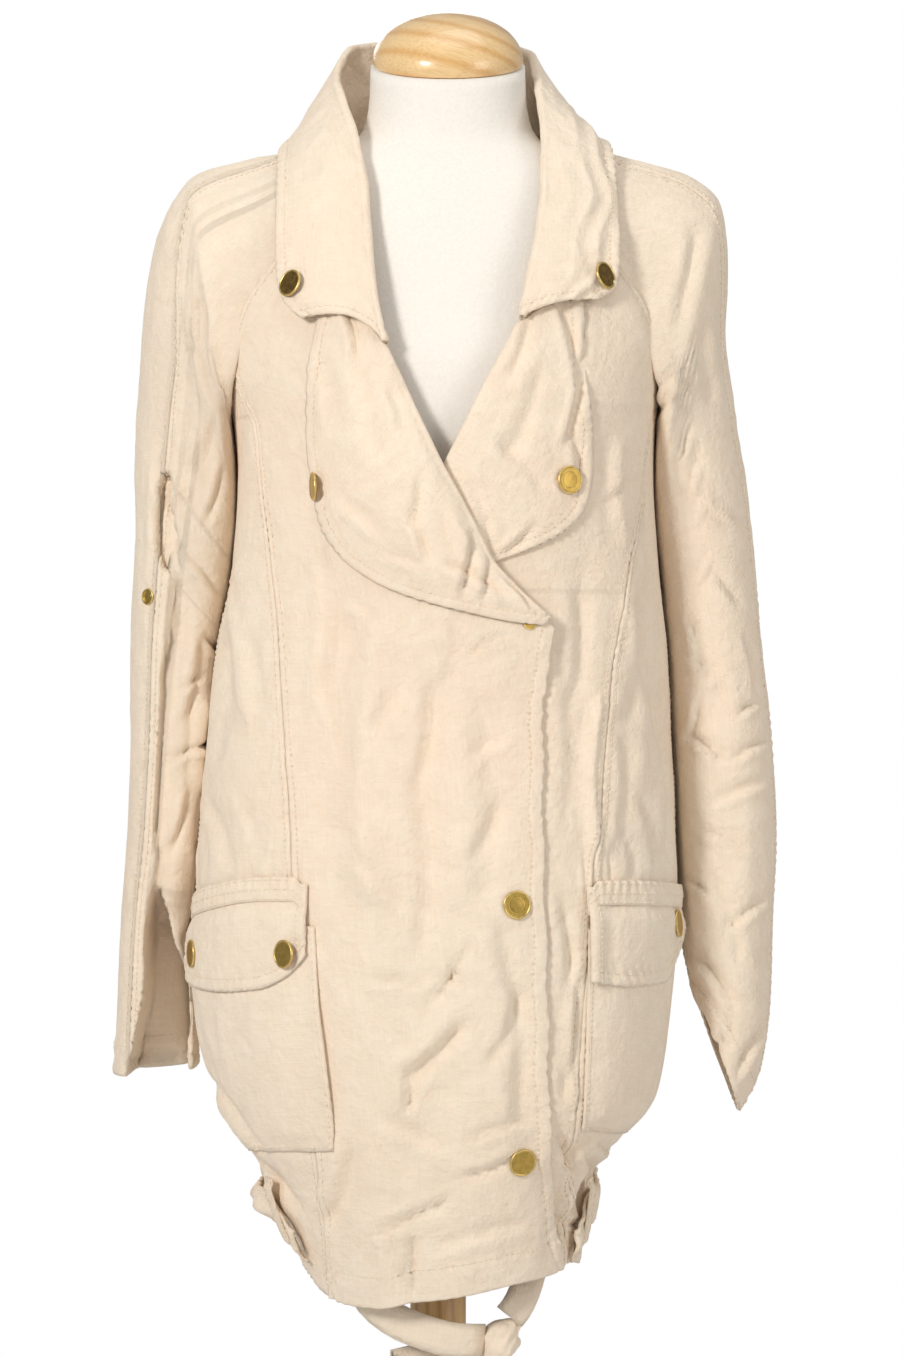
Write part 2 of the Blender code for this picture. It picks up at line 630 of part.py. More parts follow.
def collar(rows_each=14, fall=5):
    right, left = COLLAR_RIGHT, COLLAR_LEFT[::-1]
    table = np.concatenate([right, left[1:]])
    run = np.concatenate([[0], np.cumsum(np.linalg.norm(np.diff(table[:, :3], axis=0), axis=1))])
    at = np.linspace(0, run[-1], 2 * rows_each - 1)
    roll, edge, seam = (np.stack([soft(run, table[:, k + j], at) for j in range(3)], axis=-1)
                        for k in (0, 3, 6))
    along = np.gradient(roll, axis=0)
    along /= np.linalg.norm(along, axis=1, keepdims=True)
    down = edge - roll
    down -= along * (down * along).sum(1, keepdims=True)
    down /= np.linalg.norm(down, axis=1, keepdims=True)
    out = np.cross(along, down)
    middle = roll + down * COLLAR_ROLL
    from_right = at / run[-1]
    end = np.maximum(1 - ease(0, 0.09, from_right), 1 - ease(0, 0.09, 1 - from_right))
    bow = np.where(from_right < 0.5, 13, 3) * end
    lines = []
    inner = middle - out * COLLAR_ROLL
    for share in (0, 0.5, 1):
        lines.append(seam + (inner - seam) * share)
    for angle in (45, 90, 135, 180):
        a = math.radians(angle)
        lines.append(middle - out * COLLAR_ROLL * math.cos(a) - down * COLLAR_ROLL * math.sin(a))
    start = lines[-1]
    for share in np.linspace(0, 1, fall + 1)[1:]:
        lift = FALL_PUFF * math.sin(math.pi * share)
        point = start + (edge - start) * share + out * lift
        point = point + along * np.where(from_right < 0.5, 1, -1)[:, None] * (
            bow * math.sin(math.pi * share ** 0.8))[:, None]
        lines.append(point)
    return np.stack(lines, axis=1)


COLLAR = collar()
wall("collar", COLLAR, linen)


# ---------------------------------------------------------------- pockets

# Each pocket on its own side (x positive outwards there); shares run from the front edge round.
POUCH_EDGE_RIGHT = np.array([(-73, 700), (-74, 729), (-79, 775), (-84, 813), (-88, 870)])
POUCH_EDGE_LEFT = np.array([(92.5, 700), (94, 740), (96, 790), (97, 870)])
POCKET_COLUMNS = ("share", "flap_low", "flap_top", "pouch_low")
POCKET_RIGHT = np.array([(0, 840, 892, 706), (0.08, 826, 893, 704.5), (0.25, 815, 892, 703),
                         (0.6, 811, 884, 698), (0.88, 813, 876, 695), (1, 824, 872, 694)])
POCKET_LEFT = np.array([(0, 821, 890, 717), (0.08, 819, 890, 716.5), (0.3, 816, 889, 713),
                        (0.6, 816, 886, 709), (0.82, 832, 883, 707), (1, 850, 881, 706)])
POCKET_TURN = 1.50
POUCH_OUT = 4.4
FLAP_OUT = 6.3
BAND_DEEP = 17
BAND_GATHERS = 7


def pocket_turn(sign, share, height, edge_x):
    front = np.abs(turn_at(edge_x, height))
    return sign * (front + (POCKET_TURN - front) * share)


def under_pocket(sign, turn, height):
    """How far the cloth under a pocket stands off the body's own form."""
    return top_front_out(turn, height) if sign < 0 else 0 * turn


def pouch_grid(sign, table, edge, columns=9, rows=9):
    share = np.array([0, 0.03, 0.09] + list(np.linspace(0.22, 0.9, columns - 5)) + [0.96, 1.0])
    rise = np.array([0, 0.03, 0.09] + list(np.linspace(0.2, 1, rows - 3)))
    share, rise = np.meshgrid(share, rise)
    low = soft(table[:, 0], table[:, 3], share)
    high = soft(table[:, 0], table[:, 2], share) - 33
    height = low + (high - low) * rise
    turn = pocket_turn(sign, share, height, line_x(edge, height))
    rim = ease(0, 0.09, share) * ease(0, 0.1, 1 - share) * ease(0, 0.09, rise)
    top = ease(0.8, 1, rise)
    out = 2.6 + (POUCH_OUT - 2.6) * rim - 1.0 * top * rim
    grid = body_point(turn, height, out + under_pocket(sign, turn, height))
    return grid if sign > 0 else grid[:, ::-1]


def flap_grid(sign, table, edge_x, columns=11, rows=6):
    share, rise = np.meshgrid(np.linspace(0, 1, columns) ** 0.9, np.linspace(0, 1, rows))
    low = soft(table[:, 0], table[:, 1], share)
    top = soft(table[:, 0], table[:, 2], share) - 4
    height = low + (top - low) * rise
    turn = pocket_turn(sign, share, height, edge_x)
    out = 2.0 + (FLAP_OUT - 2.0) * ease(11, 24, top - height)
    grid = body_point(turn, height, out + under_pocket(sign, turn, height))
    return grid if sign > 0 else grid[:, ::-1]


def band_grid(sign, table, edge_x, columns=29, rows=3):
    share, rise = np.meshgrid(np.linspace(0, 1, columns), np.linspace(0, 1, rows))
    top = soft(table[:, 0], table[:, 2], share)
    height = top - BAND_DEEP * (1 - rise)
    turn = pocket_turn(sign, share, height, edge_x)
    gathers = 0.6 * np.cos(2 * math.pi * BAND_GATHERS * share) * (1 - 0.5 * np.abs(2 * rise - 1))
    out = 4.5 + gathers - 0.5 * ease(0.5, 1, rise) + 0.5 * (1 - ease(0, 0.5, rise))
    grid = body_point(turn, height, out + under_pocket(sign, turn, height))
    return grid if sign > 0 else grid[:, ::-1]


FLAPS = {}
for side, sign, table, edge, flap_x in (
        ("right", -1, POCKET_RIGHT, POUCH_EDGE_RIGHT, -92.0),
        ("left", 1, POCKET_LEFT, POUCH_EDGE_LEFT, 95.5)):
    wall("pouch_" + side, pouch_grid(sign, table, edge), linen)
    FLAPS[side] = flap_grid(sign, table, flap_x)
    wall("flap_" + side, FLAPS[side], linen)
    wall("gathered_band_" + side, band_grid(sign, table, flap_x), linen)


# ---------------------------------------------------------------- tie belt

BELT_WIDE = 30
BELT_THICK = 2.0
BELT_MIDDLE = 656
BELT_END = 1.02      # turn where the belt's outer stretch ends, in front of each loop
LOOP_TURN = 1.17


def belt_back(columns=33, rows=4):
    """The stretch of belt outside the back, from in front of one loop to the other."""
    share, rise = np.meshgrid(np.linspace(0, 1, columns), np.linspace(-1, 1, rows))
    turn = BELT_END + share * 2 * (math.pi - BELT_END)
    side = ease(0.75, 1, np.abs(2 * share - 1))
    drop = 24 * ease(0.85, 1, np.abs(2 * share - 1)) ** 2
    height = BELT_MIDDLE - drop + rise * BELT_WIDE / 2 * (1 - 0.25 * side)
    out = 4.9 + 1.4 * side * np.cos(5 * rise + 40 * share) + 0.8 * np.sin(31 * share + 2 * rise)
    turn = np.where(turn > math.pi, turn - 2 * math.pi, turn)
    return body_point(turn, height, out)


wall("belt_back", belt_back(), linen, BELT_THICK)


def belt_loop(sign):
    """A narrow strip over the belt, held to the body above and below it."""
    outs = np.array([(-29, 3.4), (-26, 4.0), (-22, 10.4), (0, 11), (19, 10.4), (22, 4.0), (25, 3.6)])
    rows = []
    for rise, out in outs:
        turn = sign * (LOOP_TURN + np.array([0.045, -0.045]) * sign)
        rows.append(body_point(turn, BELT_MIDDLE - 3 + rise, out))
    return np.array(rows)[:, ::-1]


for side, sign in (("right", -1), ("left", 1)):
    wall("belt_loop_" + side, belt_loop(sign), linen, 1.5)


def strap(path, flat, wide, curl, columns=4, rows=14):
    """A length of belt along a path; flat is the direction across it at the two ends."""
    path = np.asarray(path, float)
    run = np.concatenate([[0], np.cumsum(np.linalg.norm(np.diff(path, axis=0), axis=1))])
    at = np.linspace(0, run[-1], rows)
    line = np.stack([soft(run, path[:, k], at) for k in range(3)], axis=-1)
    along = np.gradient(line, axis=0)
    along /= np.linalg.norm(along, axis=1, keepdims=True)
    share = (at / run[-1])[:, None]
    across = np.asarray(flat[0], float) * (1 - share) + np.asarray(flat[1], float) * share
    across = across - along * (across * along).sum(1, keepdims=True)
    across /= np.linalg.norm(across, axis=1, keepdims=True)
    normal = np.cross(across, along)
    curl = curl * (0.25 + 0.75 * ease(0, 0.2, share))
    grid = []
    for k in np.linspace(-1, 1, columns):
        bend = curl * (k * k - 0.4) + 0.35 * curl * np.sin(9 * share + 2.2 * k)
        grid.append(line + across * k * wide / 2 + normal * bend)
    return np.stack(grid, axis=1)


# The belt goes through a slit beside each loop; its drops start against the inside of the cloth.
SLIT_RIGHT = body_point(-1.08, 650, -6.4)
SLIT_LEFT = body_point(1.08, 652, -3.4)
SLOPE_RIGHT = body_point(-1.08, 662) - body_point(-1.08, 638)
SLOPE_LEFT = body_point(1.08, 664) - body_point(1.08, 640)
BELT_STRAPS = {
    "belt_drop_right": strap([SLIT_RIGHT, (-87, -61, 650), (-72, -72, 622), (-46, -86, 590),
                              (-17, -90, 576), (8, -87, 569), (27, -80, 567)],
                             [SLOPE_RIGHT, (6, 0, 24)], 24, 2.6, 5, 18),
    "belt_drop_left": strap([SLIT_LEFT, (77, -62, 652), (63, -72, 622), (51, -80, 592),
                             (45, -80, 584)],
                            [SLOPE_LEFT, (24, 0, 8)], 22, 2.4, 5, 14),
    "belt_tail_right": strap([(29.5, -71, 555.5), (4, -61, 544), (-24, -60, 549), (-42, -63, 541),
                              (-49, -66, 505), (-46, -66, 452)],
                             [(0.3, 0, 1), (1, 0.2, 0)], 23, 2.2, 4, 16),
    "belt_tail_left": strap([(44.6, -77, 552.9), (47, -76, 525), (44, -73, 480), (50, -70, 440)],
                            [(1, 0, 0), (1, 0.3, 0)], 23, 2.2, 4, 10),
}
for name, grid in BELT_STRAPS.items():
    wall(name, grid, linen, BELT_THICK)

KNOT_MIDDLE = np.array((39.0, -77.0, 567.0))
KNOT_COLUMNS = ("rise", "wide", "deep")
KNOT = np.array([(-13.5, 5, 4), (-11.5, 10, 7), (-5, 13, 9.5), (1, 12, 9.5), (7, 13.5, 9), (12, 10, 7),
                 (14, 6, 4)])


def knot_rings(sides=14):
    angle = np.arange(sides) * 2 * math.pi / sides
    for rise, wide, deep in KNOT:
        lump = 1 + 0.12 * np.cos(3 * angle + 0.12 * rise)
        yield KNOT_MIDDLE + np.stack([wide * lump * np.sin(angle), -deep * lump * np.cos(angle),
                                      rise + 0.22 * wide * np.sin(angle)], axis=-1)


closed_turned("belt_knot", list(knot_rings()), linen)


# ---------------------------------------------------------------- snaps

SNAP_PROFILE = np.array([(8.9, 0), (9.75, 0.7), (9.6, 1.9), (8.6, 2.5)])
# radius, rise above the cloth, for a snap of full size


def fine(grid, times=6):
    """The same grid with many more points, for placing things on it."""
    rows = np.linspace(0, grid.shape[0] - 1, (grid.shape[0] - 1) * times + 1)
    columns = np.linspace(0, grid.shape[1] - 1, (grid.shape[1] - 1) * times + 1)
    r = np.minimum(rows.astype(int), grid.shape[0] - 2)
    c = np.minimum(columns.astype(int), grid.shape[1] - 2)
    u = (rows - r)[:, None, None]
    v = (columns - c)[None, :, None]
    low = grid[r][:, c] * (1 - v) + grid[r][:, c + 1] * v
    high = grid[r + 1][:, c] * (1 - v) + grid[r + 1][:, c + 1] * v
    return low * (1 - u) + high * u


def place_on(grid, x, z):
    """Point of the grid nearest to x and z in the front view, and its normal towards the front."""
    dense = fine(grid)
    off = np.hypot(dense[..., 0] - x, dense[..., 2] - z)
    at = np.unravel_index(np.argmin(off), off.shape)
    normal = grid_normals(dense, False)[at]
    return dense[at], normal if normal[1] < 0 else -normal


def snap(name, grid, x, z, size=1.0, lift=0.9, sides=12, thin=1.0):
    point, normal = place_on(grid, x, z)
    side = np.cross(normal, (0.0, 0.0, 1.0))
    side /= np.linalg.norm(side)
    up = np.cross(side, normal)
    angle = np.arange(sides) * 2 * math.pi / sides
    rings = []
    for radius, rise in SNAP_PROFILE:
        centre = point + normal * (CLOTH / 2 + lift + rise * thin)
        rings.append(centre + radius * size * (np.cos(angle)[:, None] * up
                                               + np.sin(angle)[:, None] * side))
    closed_turned(name, rings, antique_brass)


snap("snap_collar_right", COLLAR, -106, 1301)
snap("snap_collar_left", COLLAR, 109, 1306)
snap("snap_lapel_right", LAPELS["right"], -87.0, 1161)
snap("snap_lapel_left", LAPELS["left"], 84, 1163)
snap("snap_lapel_tip", FRONT_RIGHT, 57.0, 1064.8, 0.48, 0.6, 12, 0.25)
snap("snap_front_upper", FRONT_RIGHT, 49.6, 876.7)
snap("snap_front_lower", FRONT_RIGHT, 53.8, 697.7)
snap("snap_pocket_right_front", FLAPS["right"], -106.5, 843)
snap("snap_pocket_right_side", FLAPS["right"], -178, 835)
snap("snap_pocket_left_side", FLAPS["left"], 165, 856)
snap("snap_sleeve_right", SLEEVES["sleeve_front_right"], -214, 1088, 0.6)
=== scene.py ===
"""Looks of the crinkled blouson jacket on its dress form.

Metres, +Z up. The wearer faces -Y, and +X is the wearer's left. Tables are in millimetres.
"""

import math

import bmesh
import bpy
import numpy as np
from mathutils import Matrix, Vector


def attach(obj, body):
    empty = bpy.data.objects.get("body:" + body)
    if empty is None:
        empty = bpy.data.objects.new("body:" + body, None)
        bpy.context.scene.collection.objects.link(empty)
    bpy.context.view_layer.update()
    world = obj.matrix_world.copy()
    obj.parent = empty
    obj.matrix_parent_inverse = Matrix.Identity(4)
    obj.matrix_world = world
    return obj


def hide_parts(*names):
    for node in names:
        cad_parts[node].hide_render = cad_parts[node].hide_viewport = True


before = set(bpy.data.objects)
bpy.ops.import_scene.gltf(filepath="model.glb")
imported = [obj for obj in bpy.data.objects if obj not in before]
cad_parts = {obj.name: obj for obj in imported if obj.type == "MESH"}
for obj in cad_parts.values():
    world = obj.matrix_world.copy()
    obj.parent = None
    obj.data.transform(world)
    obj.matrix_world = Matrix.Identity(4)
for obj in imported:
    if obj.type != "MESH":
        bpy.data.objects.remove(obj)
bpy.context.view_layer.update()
scene = bpy.context.scene

MM = 0.001
CLOTH = 1.1          # thickness of a single layer as it shows
HEM_EXTRA = 0.7      # how much thicker a turned hem is
SEAM = 0.12          # distance from a panel's edge to its seam line
SEAM_TURN = 0.0009   # the same distance as a turn round the body
ROLL = 2.6           # radius of a turned-back edge
EDGE_INSIDE = 3.6    # how far a front's edge lies inside the roll that turns round it
OVERLAP = 3.0        # how far the top front stands off the front under it
ROUNDNESS = 0.82     # below 1 the chest is flatter than an ellipse
STEP = 3.6           # spacing of a cloth piece's points
PANEL_SEAM = ("seam", 4.3, 1.0)    # kind, distance of the stitches from the edge, strength
PANEL_HEM = ("hem", 23, 0.9)
OVERLAP_TOP = 1066   # where the top front's straight edge starts to turn back
HIDDEN_TOP = 1090    # where the left front comes out from under the right one
NOTCH_RIGHT, NOTCH_LEFT = 1255.5, 1274    # where each lapel meets the collar
RAGLAN_LOW = 1212    # underarm, where the raglan seams and the side seams meet

# ---------------------------------------------------------------- camera and light

camera_data = bpy.data.cameras.new("camera")
camera_data.lens = 88.5
camera = bpy.data.objects.new("camera", camera_data)
camera.location = (0.005, -2.4, 1.0286)
camera.rotation_euler = (math.pi / 2, 0, 0)
scene.collection.objects.link(camera)
scene.camera = camera
scene.view_settings.view_transform = "Standard"


def softbox(name, place, aim, size, power, colour):
    data = bpy.data.lights.new(name, "AREA")
    data.shape = "RECTANGLE"
    data.size, data.size_y = size
    data.energy = power
    data.color = colour
    light = bpy.data.objects.new(name, data)
    light.location = place
    toward = np.array(aim, float) - np.array(place, float)
    flat = math.hypot(toward[0], toward[1])
    light.rotation_euler = (math.atan2(flat, -toward[2]), 0, math.atan2(-toward[0], toward[1]))
    scene.collection.objects.link(light)


softbox("key_light", (-1.35, -2.1, 1.9), (0, 0, 1.05), (0.45, 0.6), 39, (1.0, 0.985, 0.96))
softbox("fill_light", (1.8, -1.5, 1.4), (0, 0, 1.0), (1.0, 1.4), 14, (1.0, 0.965, 0.92))
softbox("top_light", (0.2, -0.3, 2.9), (0, 0, 1.2), (1.2, 1.2), 8, (1.0, 1.0, 1.0))
softbox("back_light", (-0.6, 2.2, 1.8), (0, 0, 1.0), (1.4, 1.4), 12, (1.0, 1.0, 1.0))

world = bpy.data.worlds.new("studio")
scene.world = world
world.use_nodes = True
sky = world.node_tree
seen = sky.nodes.new("ShaderNodeLightPath")
brightness = sky.nodes.new("ShaderNodeMapRange")
brightness.inputs["To Min"].default_value = 0.34
brightness.inputs["To Max"].default_value = 1.0
sky.links.new(seen.outputs["Is Camera Ray"], brightness.inputs["Value"])
sky.nodes["Background"].inputs["Color"].default_value = (1, 1, 1, 1)
sky.links.new(brightness.outputs["Result"], sky.nodes["Background"].inputs["Strength"])

# ---------------------------------------------------------------- form of the jacket

BODY_COLUMNS = ("height", "right", "left", "front", "back")
BODY = np.array([
    (585, 96, 94, 114, 96),
    (606, 100, 96, 117, 99),
    (635, 113, 99, 122, 104),
    (674, 129, 106, 129, 112),
    (700, 145, 124, 134, 118),
    (735, 160, 147, 139, 124),
    (780, 173, 155, 143, 127),
    (830, 178, 161, 145, 127),
    (880, 178, 166, 145, 124),
    (930, 175, 165, 143, 120),
    (990, 169, 161, 140, 115),
    (1050, 163, 158, 137, 112),
    (1110, 152, 153, 135, 110),
    (1170, 148, 149, 134, 108),
    (1212, 151, 151, 132, 106),
    (1250, 158, 158, 126, 103),
    (1300, 165, 165, 112, 98),
    (1345, 165, 165, 93, 88),
    (1380, 160, 160, 76, 74),
    (1415, 150, 150, 62, 62),
])

# Largest folds of the body: from (x, height) to (x, height), half width, outward push.
BODY_FOLDS = np.array([
    (-8, 1020, -16, 830, 16, -3.5),
    (24, 1010, 30, 700, 22, 2.5),
    (-62, 1100, -60, 930, 15, -2.5),
    (-50, 980, -40, 640, 20, 2.5),
    (12, 770, -26, 700, 12, -3.0),
    (96, 1120, 92, 1000, 10, -2.0),
    (-24, 660, -22, 590, 9, -3.5),
])
BACK_WAVES = 5       # soft waves that the belt draws in at the back
WAVE_PUSH = 3.2

# Seam and edge lines on the front, as (x, height) from the photo; x is positive outwards.
PRINCESS_RIGHT = np.array([
    (-78, 604), (-82, 650), (-92, 740), (-101, 850), (-104, 900), (-106, 940),
    (-111, 1000), (-116, 1070), (-121, 1110), (-126, 1155), (-131, 1200), (-145, 1236),
    (-149.6, 1253),
])
PRINCESS_LEFT = np.array([
    (84, 618), (86, 680), (92, 760), (98, 850), (101, 898), (106, 930),
    (109, 970), (115, 1030), (121, 1070), (128, 1110), (137, 1150), (145, 1206), (150.6, 1219),
])
RAGLAN_FRONT = np.array([(151, 1212), (151.5, 1236), (149.5, 1258), (142.5, 1284),
                         (118, 1320), (92, 1352), (69, 1381)])
RAGLAN_BACK = np.array([(151, 1212), (148, 1240), (140, 1275), (122, 1310),
                        (96, 1345), (72, 1378), (50, 1404)])
OVERLAP_EDGE = np.array([(80, 617), (76.5, 640), (72, 680), (70, 740), (68, 830),
                         (66, 900), (65.5, 960), (66, 1010), (71.5, 1066)])
ROLL_RIGHT = np.array([(71.5, 1066), (54, 1084), (31, 1108), (-1, 1173), (-21, 1216),
                       (-38.5, 1255.5)])
ROLL_LEFT = np.array([(-36, 1106), (-1, 1173), (25, 1224), (51, 1274)])
NECKLINE_RIGHT = np.array([(-42.5, 1255.5), (-53.5, 1292), (-61, 1330), (-70.5, 1381)])
NECKLINE_LEFT = np.array([(55, 1274), (61, 1300), (67.5, 1330), (71.5, 1360), (75, 1390)])
HEM_FRONT = np.array([(-100, 606), (-77, 597), (-60, 595), (-45, 595), (-23, 600),
                      (15, 606), (46, 612), (70, 615), (100, 626)])
HEM_BACK = 612


def soft(places, values, at):
    """Values read off a table by a smooth curve that never overshoots them."""
    places = np.asarray(places, float)
    values = np.asarray(values, float)
    at = np.asarray(at, float)
    step = np.diff(places)
    slope = np.diff(values) / step
    tangent = np.zeros(len(places))
    tangent[0], tangent[-1] = slope[0], slope[-1]
    same = slope[:-1] * slope[1:] > 0
    near, far = 2 * step[1:] + step[:-1], step[1:] + 2 * step[:-1]
    with np.errstate(divide="ignore", invalid="ignore"):
        inner = (near + far) / (near / slope[:-1] + far / slope[1:])
    tangent[1:-1] = np.where(same, inner, 0)
    clipped = np.clip(at, places[0], places[-1])
    k = np.clip(np.searchsorted(places, clipped) - 1, 0, len(step) - 1)
    u = (clipped - places[k]) / step[k]
    start = (1 + 2 * u) * (1 - u) ** 2 * values[k] + u * (1 - u) ** 2 * step[k] * tangent[k]
    end = u * u * (3 - 2 * u) * values[k + 1] + u * u * (u - 1) * step[k] * tangent[k + 1]
    return start + end


def column(table, k, at):
    """One column of a table, read by its first column."""
    return soft(table[:, 0], table[:, k], at)


def run_along(points):
    """Distance along a line of points from its first."""
    return np.concatenate([[0], np.cumsum(np.linalg.norm(np.diff(points, axis=0), axis=1))])


def curve_at(run, points, at):
    """Points on the smooth curve through a line of points."""
    return np.stack([soft(run, points[:, k], at) for k in range(3)], axis=-1)


def body_size(side, height):
    return column(BODY, BODY_COLUMNS.index(side), height)


def ease(low, high, at):
    """0 below low, 1 above high, smooth between."""
    u = np.clip((np.asarray(at, float) - low) / (high - low), 0, 1)
    return u * u * (3 - 2 * u)


def fold_push(x, height, folds):
    """Outward push of soft ridges and troughs that run along straight lines on the front."""
    push = np.zeros(np.broadcast(x, height).shape)
    for x_top, z_top, x_low, z_low, width, amount in folds:
        along = np.array([x_low - x_top, z_low - z_top])
        length = np.hypot(*along)
        along = along / length
        run = ((x - x_top) * along[0] + (height - z_top) * along[1]) / length
        side = (x - x_top) * along[1] - (height - z_top) * along[0]
        fade = ease(-0.25, 0.25, run) * (1 - ease(0.75, 1.25, run))
        push = push + amount * fade * np.exp(-((side / width) ** 2))
    return push


def gather_push(turn, height):
    """Waves at the back and sides, strongest where the belt draws the cloth in."""
    fade = np.exp(-(((height - 668) / 62) ** 2)) * ease(1.25, 1.8, np.abs(turn))
    return WAVE_PUSH * fade * np.cos(2 * BACK_WAVES * turn)


def body_point(turn, height, out=0.0):
    """Point of the jacket's body; turn 0 is the front middle and out is towards the outside."""
    turn, height, out = np.broadcast_arrays(*(np.asarray(v, float) for v in (turn, height, out)))
    half = np.where(turn < 0, body_size("right", height), body_size("left", height))
    facing = np.cos(turn)
    depth = np.where(facing > 0, body_size("front", height), body_size("back", height))
    x = half * np.sin(turn)
    y = -np.sign(facing) * depth * np.abs(facing) ** ROUNDNESS
    on_front = ease(0.1, 0.5, facing)
    total = out + on_front * fold_push(x, height, BODY_FOLDS) + gather_push(turn, height)
    across = np.sin(turn) * depth
    forward = -np.sign(facing) * half * np.abs(facing) ** (2 - ROUNDNESS)
    length = np.hypot(across, forward) + 1e-9
    return np.stack([x + total * across / length, y + total * forward / length, height], axis=-1)


def turn_at(x, height):
    half = np.where(np.asarray(x) < 0, body_size("right", height), body_size("left", height))
    return np.arcsin(np.clip(x / half, -1, 1))


def line_x(line, height):
    order = np.argsort(line[:, 1])
    return soft(line[order, 1], line[order, 0], height)


def grid_normals(mid):
    """Unit normals of a grid of points."""
    normal = np.cross(np.gradient(mid, axis=1), np.gradient(mid, axis=0))
    return normal / (np.linalg.norm(normal, axis=-1, keepdims=True) + 1e-12)

# ---------------------------------------------------------------- cloth

def lattice(ix, iy, seed):
    """A fixed value from 0 to 1 for each whole-numbered place."""
    value = np.sin(ix * 127.1 + iy * 311.7 + seed * 74.7) * 43758.5453
    return value - np.floor(value)


def soft_noise(u, v, seed):
    """Smooth noise from 0 to 1 with cells one unit wide."""
    iu, iv = np.floor(u), np.floor(v)
    fu, fv = u - iu, v - iv
    fu, fv = fu * fu * (3 - 2 * fu), fv * fv * (3 - 2 * fv)
    low = lattice(iu, iv, seed) * (1 - fu) + lattice(iu + 1, iv, seed) * fu
    high = lattice(iu, iv + 1, seed) * (1 - fu) + lattice(iu + 1, iv + 1, seed) * fu
    return low * (1 - fv) + high * fv


def crinkle(u, v, seed):
    """Outward push of the wrinkles that a washed linen keeps, in millimetres."""
    warp = 16 * (soft_noise(u / 60, v / 60, seed + 5) - 0.5)
    slow = soft_noise((u + warp) / 52, (v - warp) / 85, seed) - 0.5
    sharp = 0.35 - np.abs(soft_noise((u + warp) / 26, (v + 2 * warp) / 40, seed + 1) - 0.5) * 2
    small = 0.35 - np.abs(soft_noise((u - warp) / 12, (v + warp) / 15, seed + 2) - 0.5) * 2
    patch = ease(0.35, 0.75, soft_noise(u / 70, v / 70, seed + 9))
    return 1.8 * slow + 1.9 * sharp * (0.2 + 0.8 * patch) + 0.7 * small * (0.1 + 0.9 * patch)


CREASE_DEPTH = 3.0
CREASE_WIDTH, SLEEVE_CREASE_WIDTH = 0.72, 0.55    # shares of the half widths in the tables


def crease_push(x, height, creases, fine=CREASE_WIDTH):
    """Creases listed one by one: a soft trough with a fine ridge beside it."""
    push = np.zeros(np.shape(x))
    for x_0, z_0, x_1, z_1, width, depth in creases:
        along = np.array([x_1 - x_0, z_1 - z_0], float)
        length = np.hypot(*along)
        along = along / length
        run = ((x - x_0) * along[0] + (height - z_0) * along[1]) / length
        bow = 0.05 * length * np.sin(math.pi * np.clip(run, 0, 1)) * (1 if depth > 0 else -1)
        side = (x - x_0) * along[1] - (height - z_0) * along[0] + bow
        width = fine * width
        reach = min(0.45, 9 / length)
        fade = ease(-reach, reach, run) * (1 - ease(1 - reach, 1 + reach, run))
        ridge = np.exp(-(((side - 1.7 * width) / width) ** 2))
        trough = np.exp(-(np.abs(side / width) ** 1.45))
        push = push - CREASE_DEPTH * depth * fade * (trough - 0.5 * ridge)
    return push


def run_lengths(points, axis):
    """Distance along each row or column of a grid from its first point."""
    steps = np.linalg.norm(np.diff(points, axis=axis), axis=-1)
    start = np.zeros_like(steps[:1] if axis == 0 else steps[:, :1])
    return np.concatenate([start, np.cumsum(steps, axis=axis)], axis=axis)


def edge_places(grid):
    """For each side of a grid, the distance in from it and the distance along it."""
    up, across = run_lengths(grid, 0), run_lengths(grid, 1)
    return {"left": (across, up), "right": (across[:, -1:] - across, up),
            "low": (up, across), "top": (up[-1:] - up, across)}


def puckers(inward, along, width, seed, strength):
    """Small gathers that a row of stitches draws into the cloth beside it."""
    wave = np.sin(2 * math.pi * (along + 0.45 * inward) / 7.6 + 2.4 * np.sin(along / 19 + seed))
    uneven = 0.55 + 0.45 * np.sin(along / 15 + 2.3 * seed)
    fade = np.where(inward > width, np.exp(-(((inward - width) / 6.5) ** 2)), 0.75)
    return 0.8 * strength * wave * uneven * fade


def seam_relief(inward, along, width, seed, strength):
    """Ditch at a seam, the seam allowance under the cloth beside it, and its stitched trough."""
    ditch = -0.95 * np.exp(-((inward / 1.3) ** 2))
    allowance = 0.75 * (1 - ease(width - 0.6, width + 2.4, inward))
    trough = -0.85 * np.exp(-(((inward - width) / 1.1) ** 2))
    return ditch + allowance + trough + puckers(inward, along, width, seed, strength)


def hem_relief(inward, along, width, seed, strength):
    """A turned hem: a thicker band out to its stitched trough."""
    band = 0.4 * (1 - ease(width, width + 2.5, inward)) - 0.5 * np.exp(-((inward / 1.2) ** 2))
    trough = -0.9 * np.exp(-(((inward - width) / 1.2) ** 2))
    return band + trough + 1.25 * puckers(inward, along, width, seed, strength)


STITCHES = []
THREAD = 0.42        # radius of the topstitching thread
STITCH = 2.7         # length of one stitch
STITCH_PITCH = 4.0   # from one stitch's start to the next one's
STITCH_LIFT = 0.3


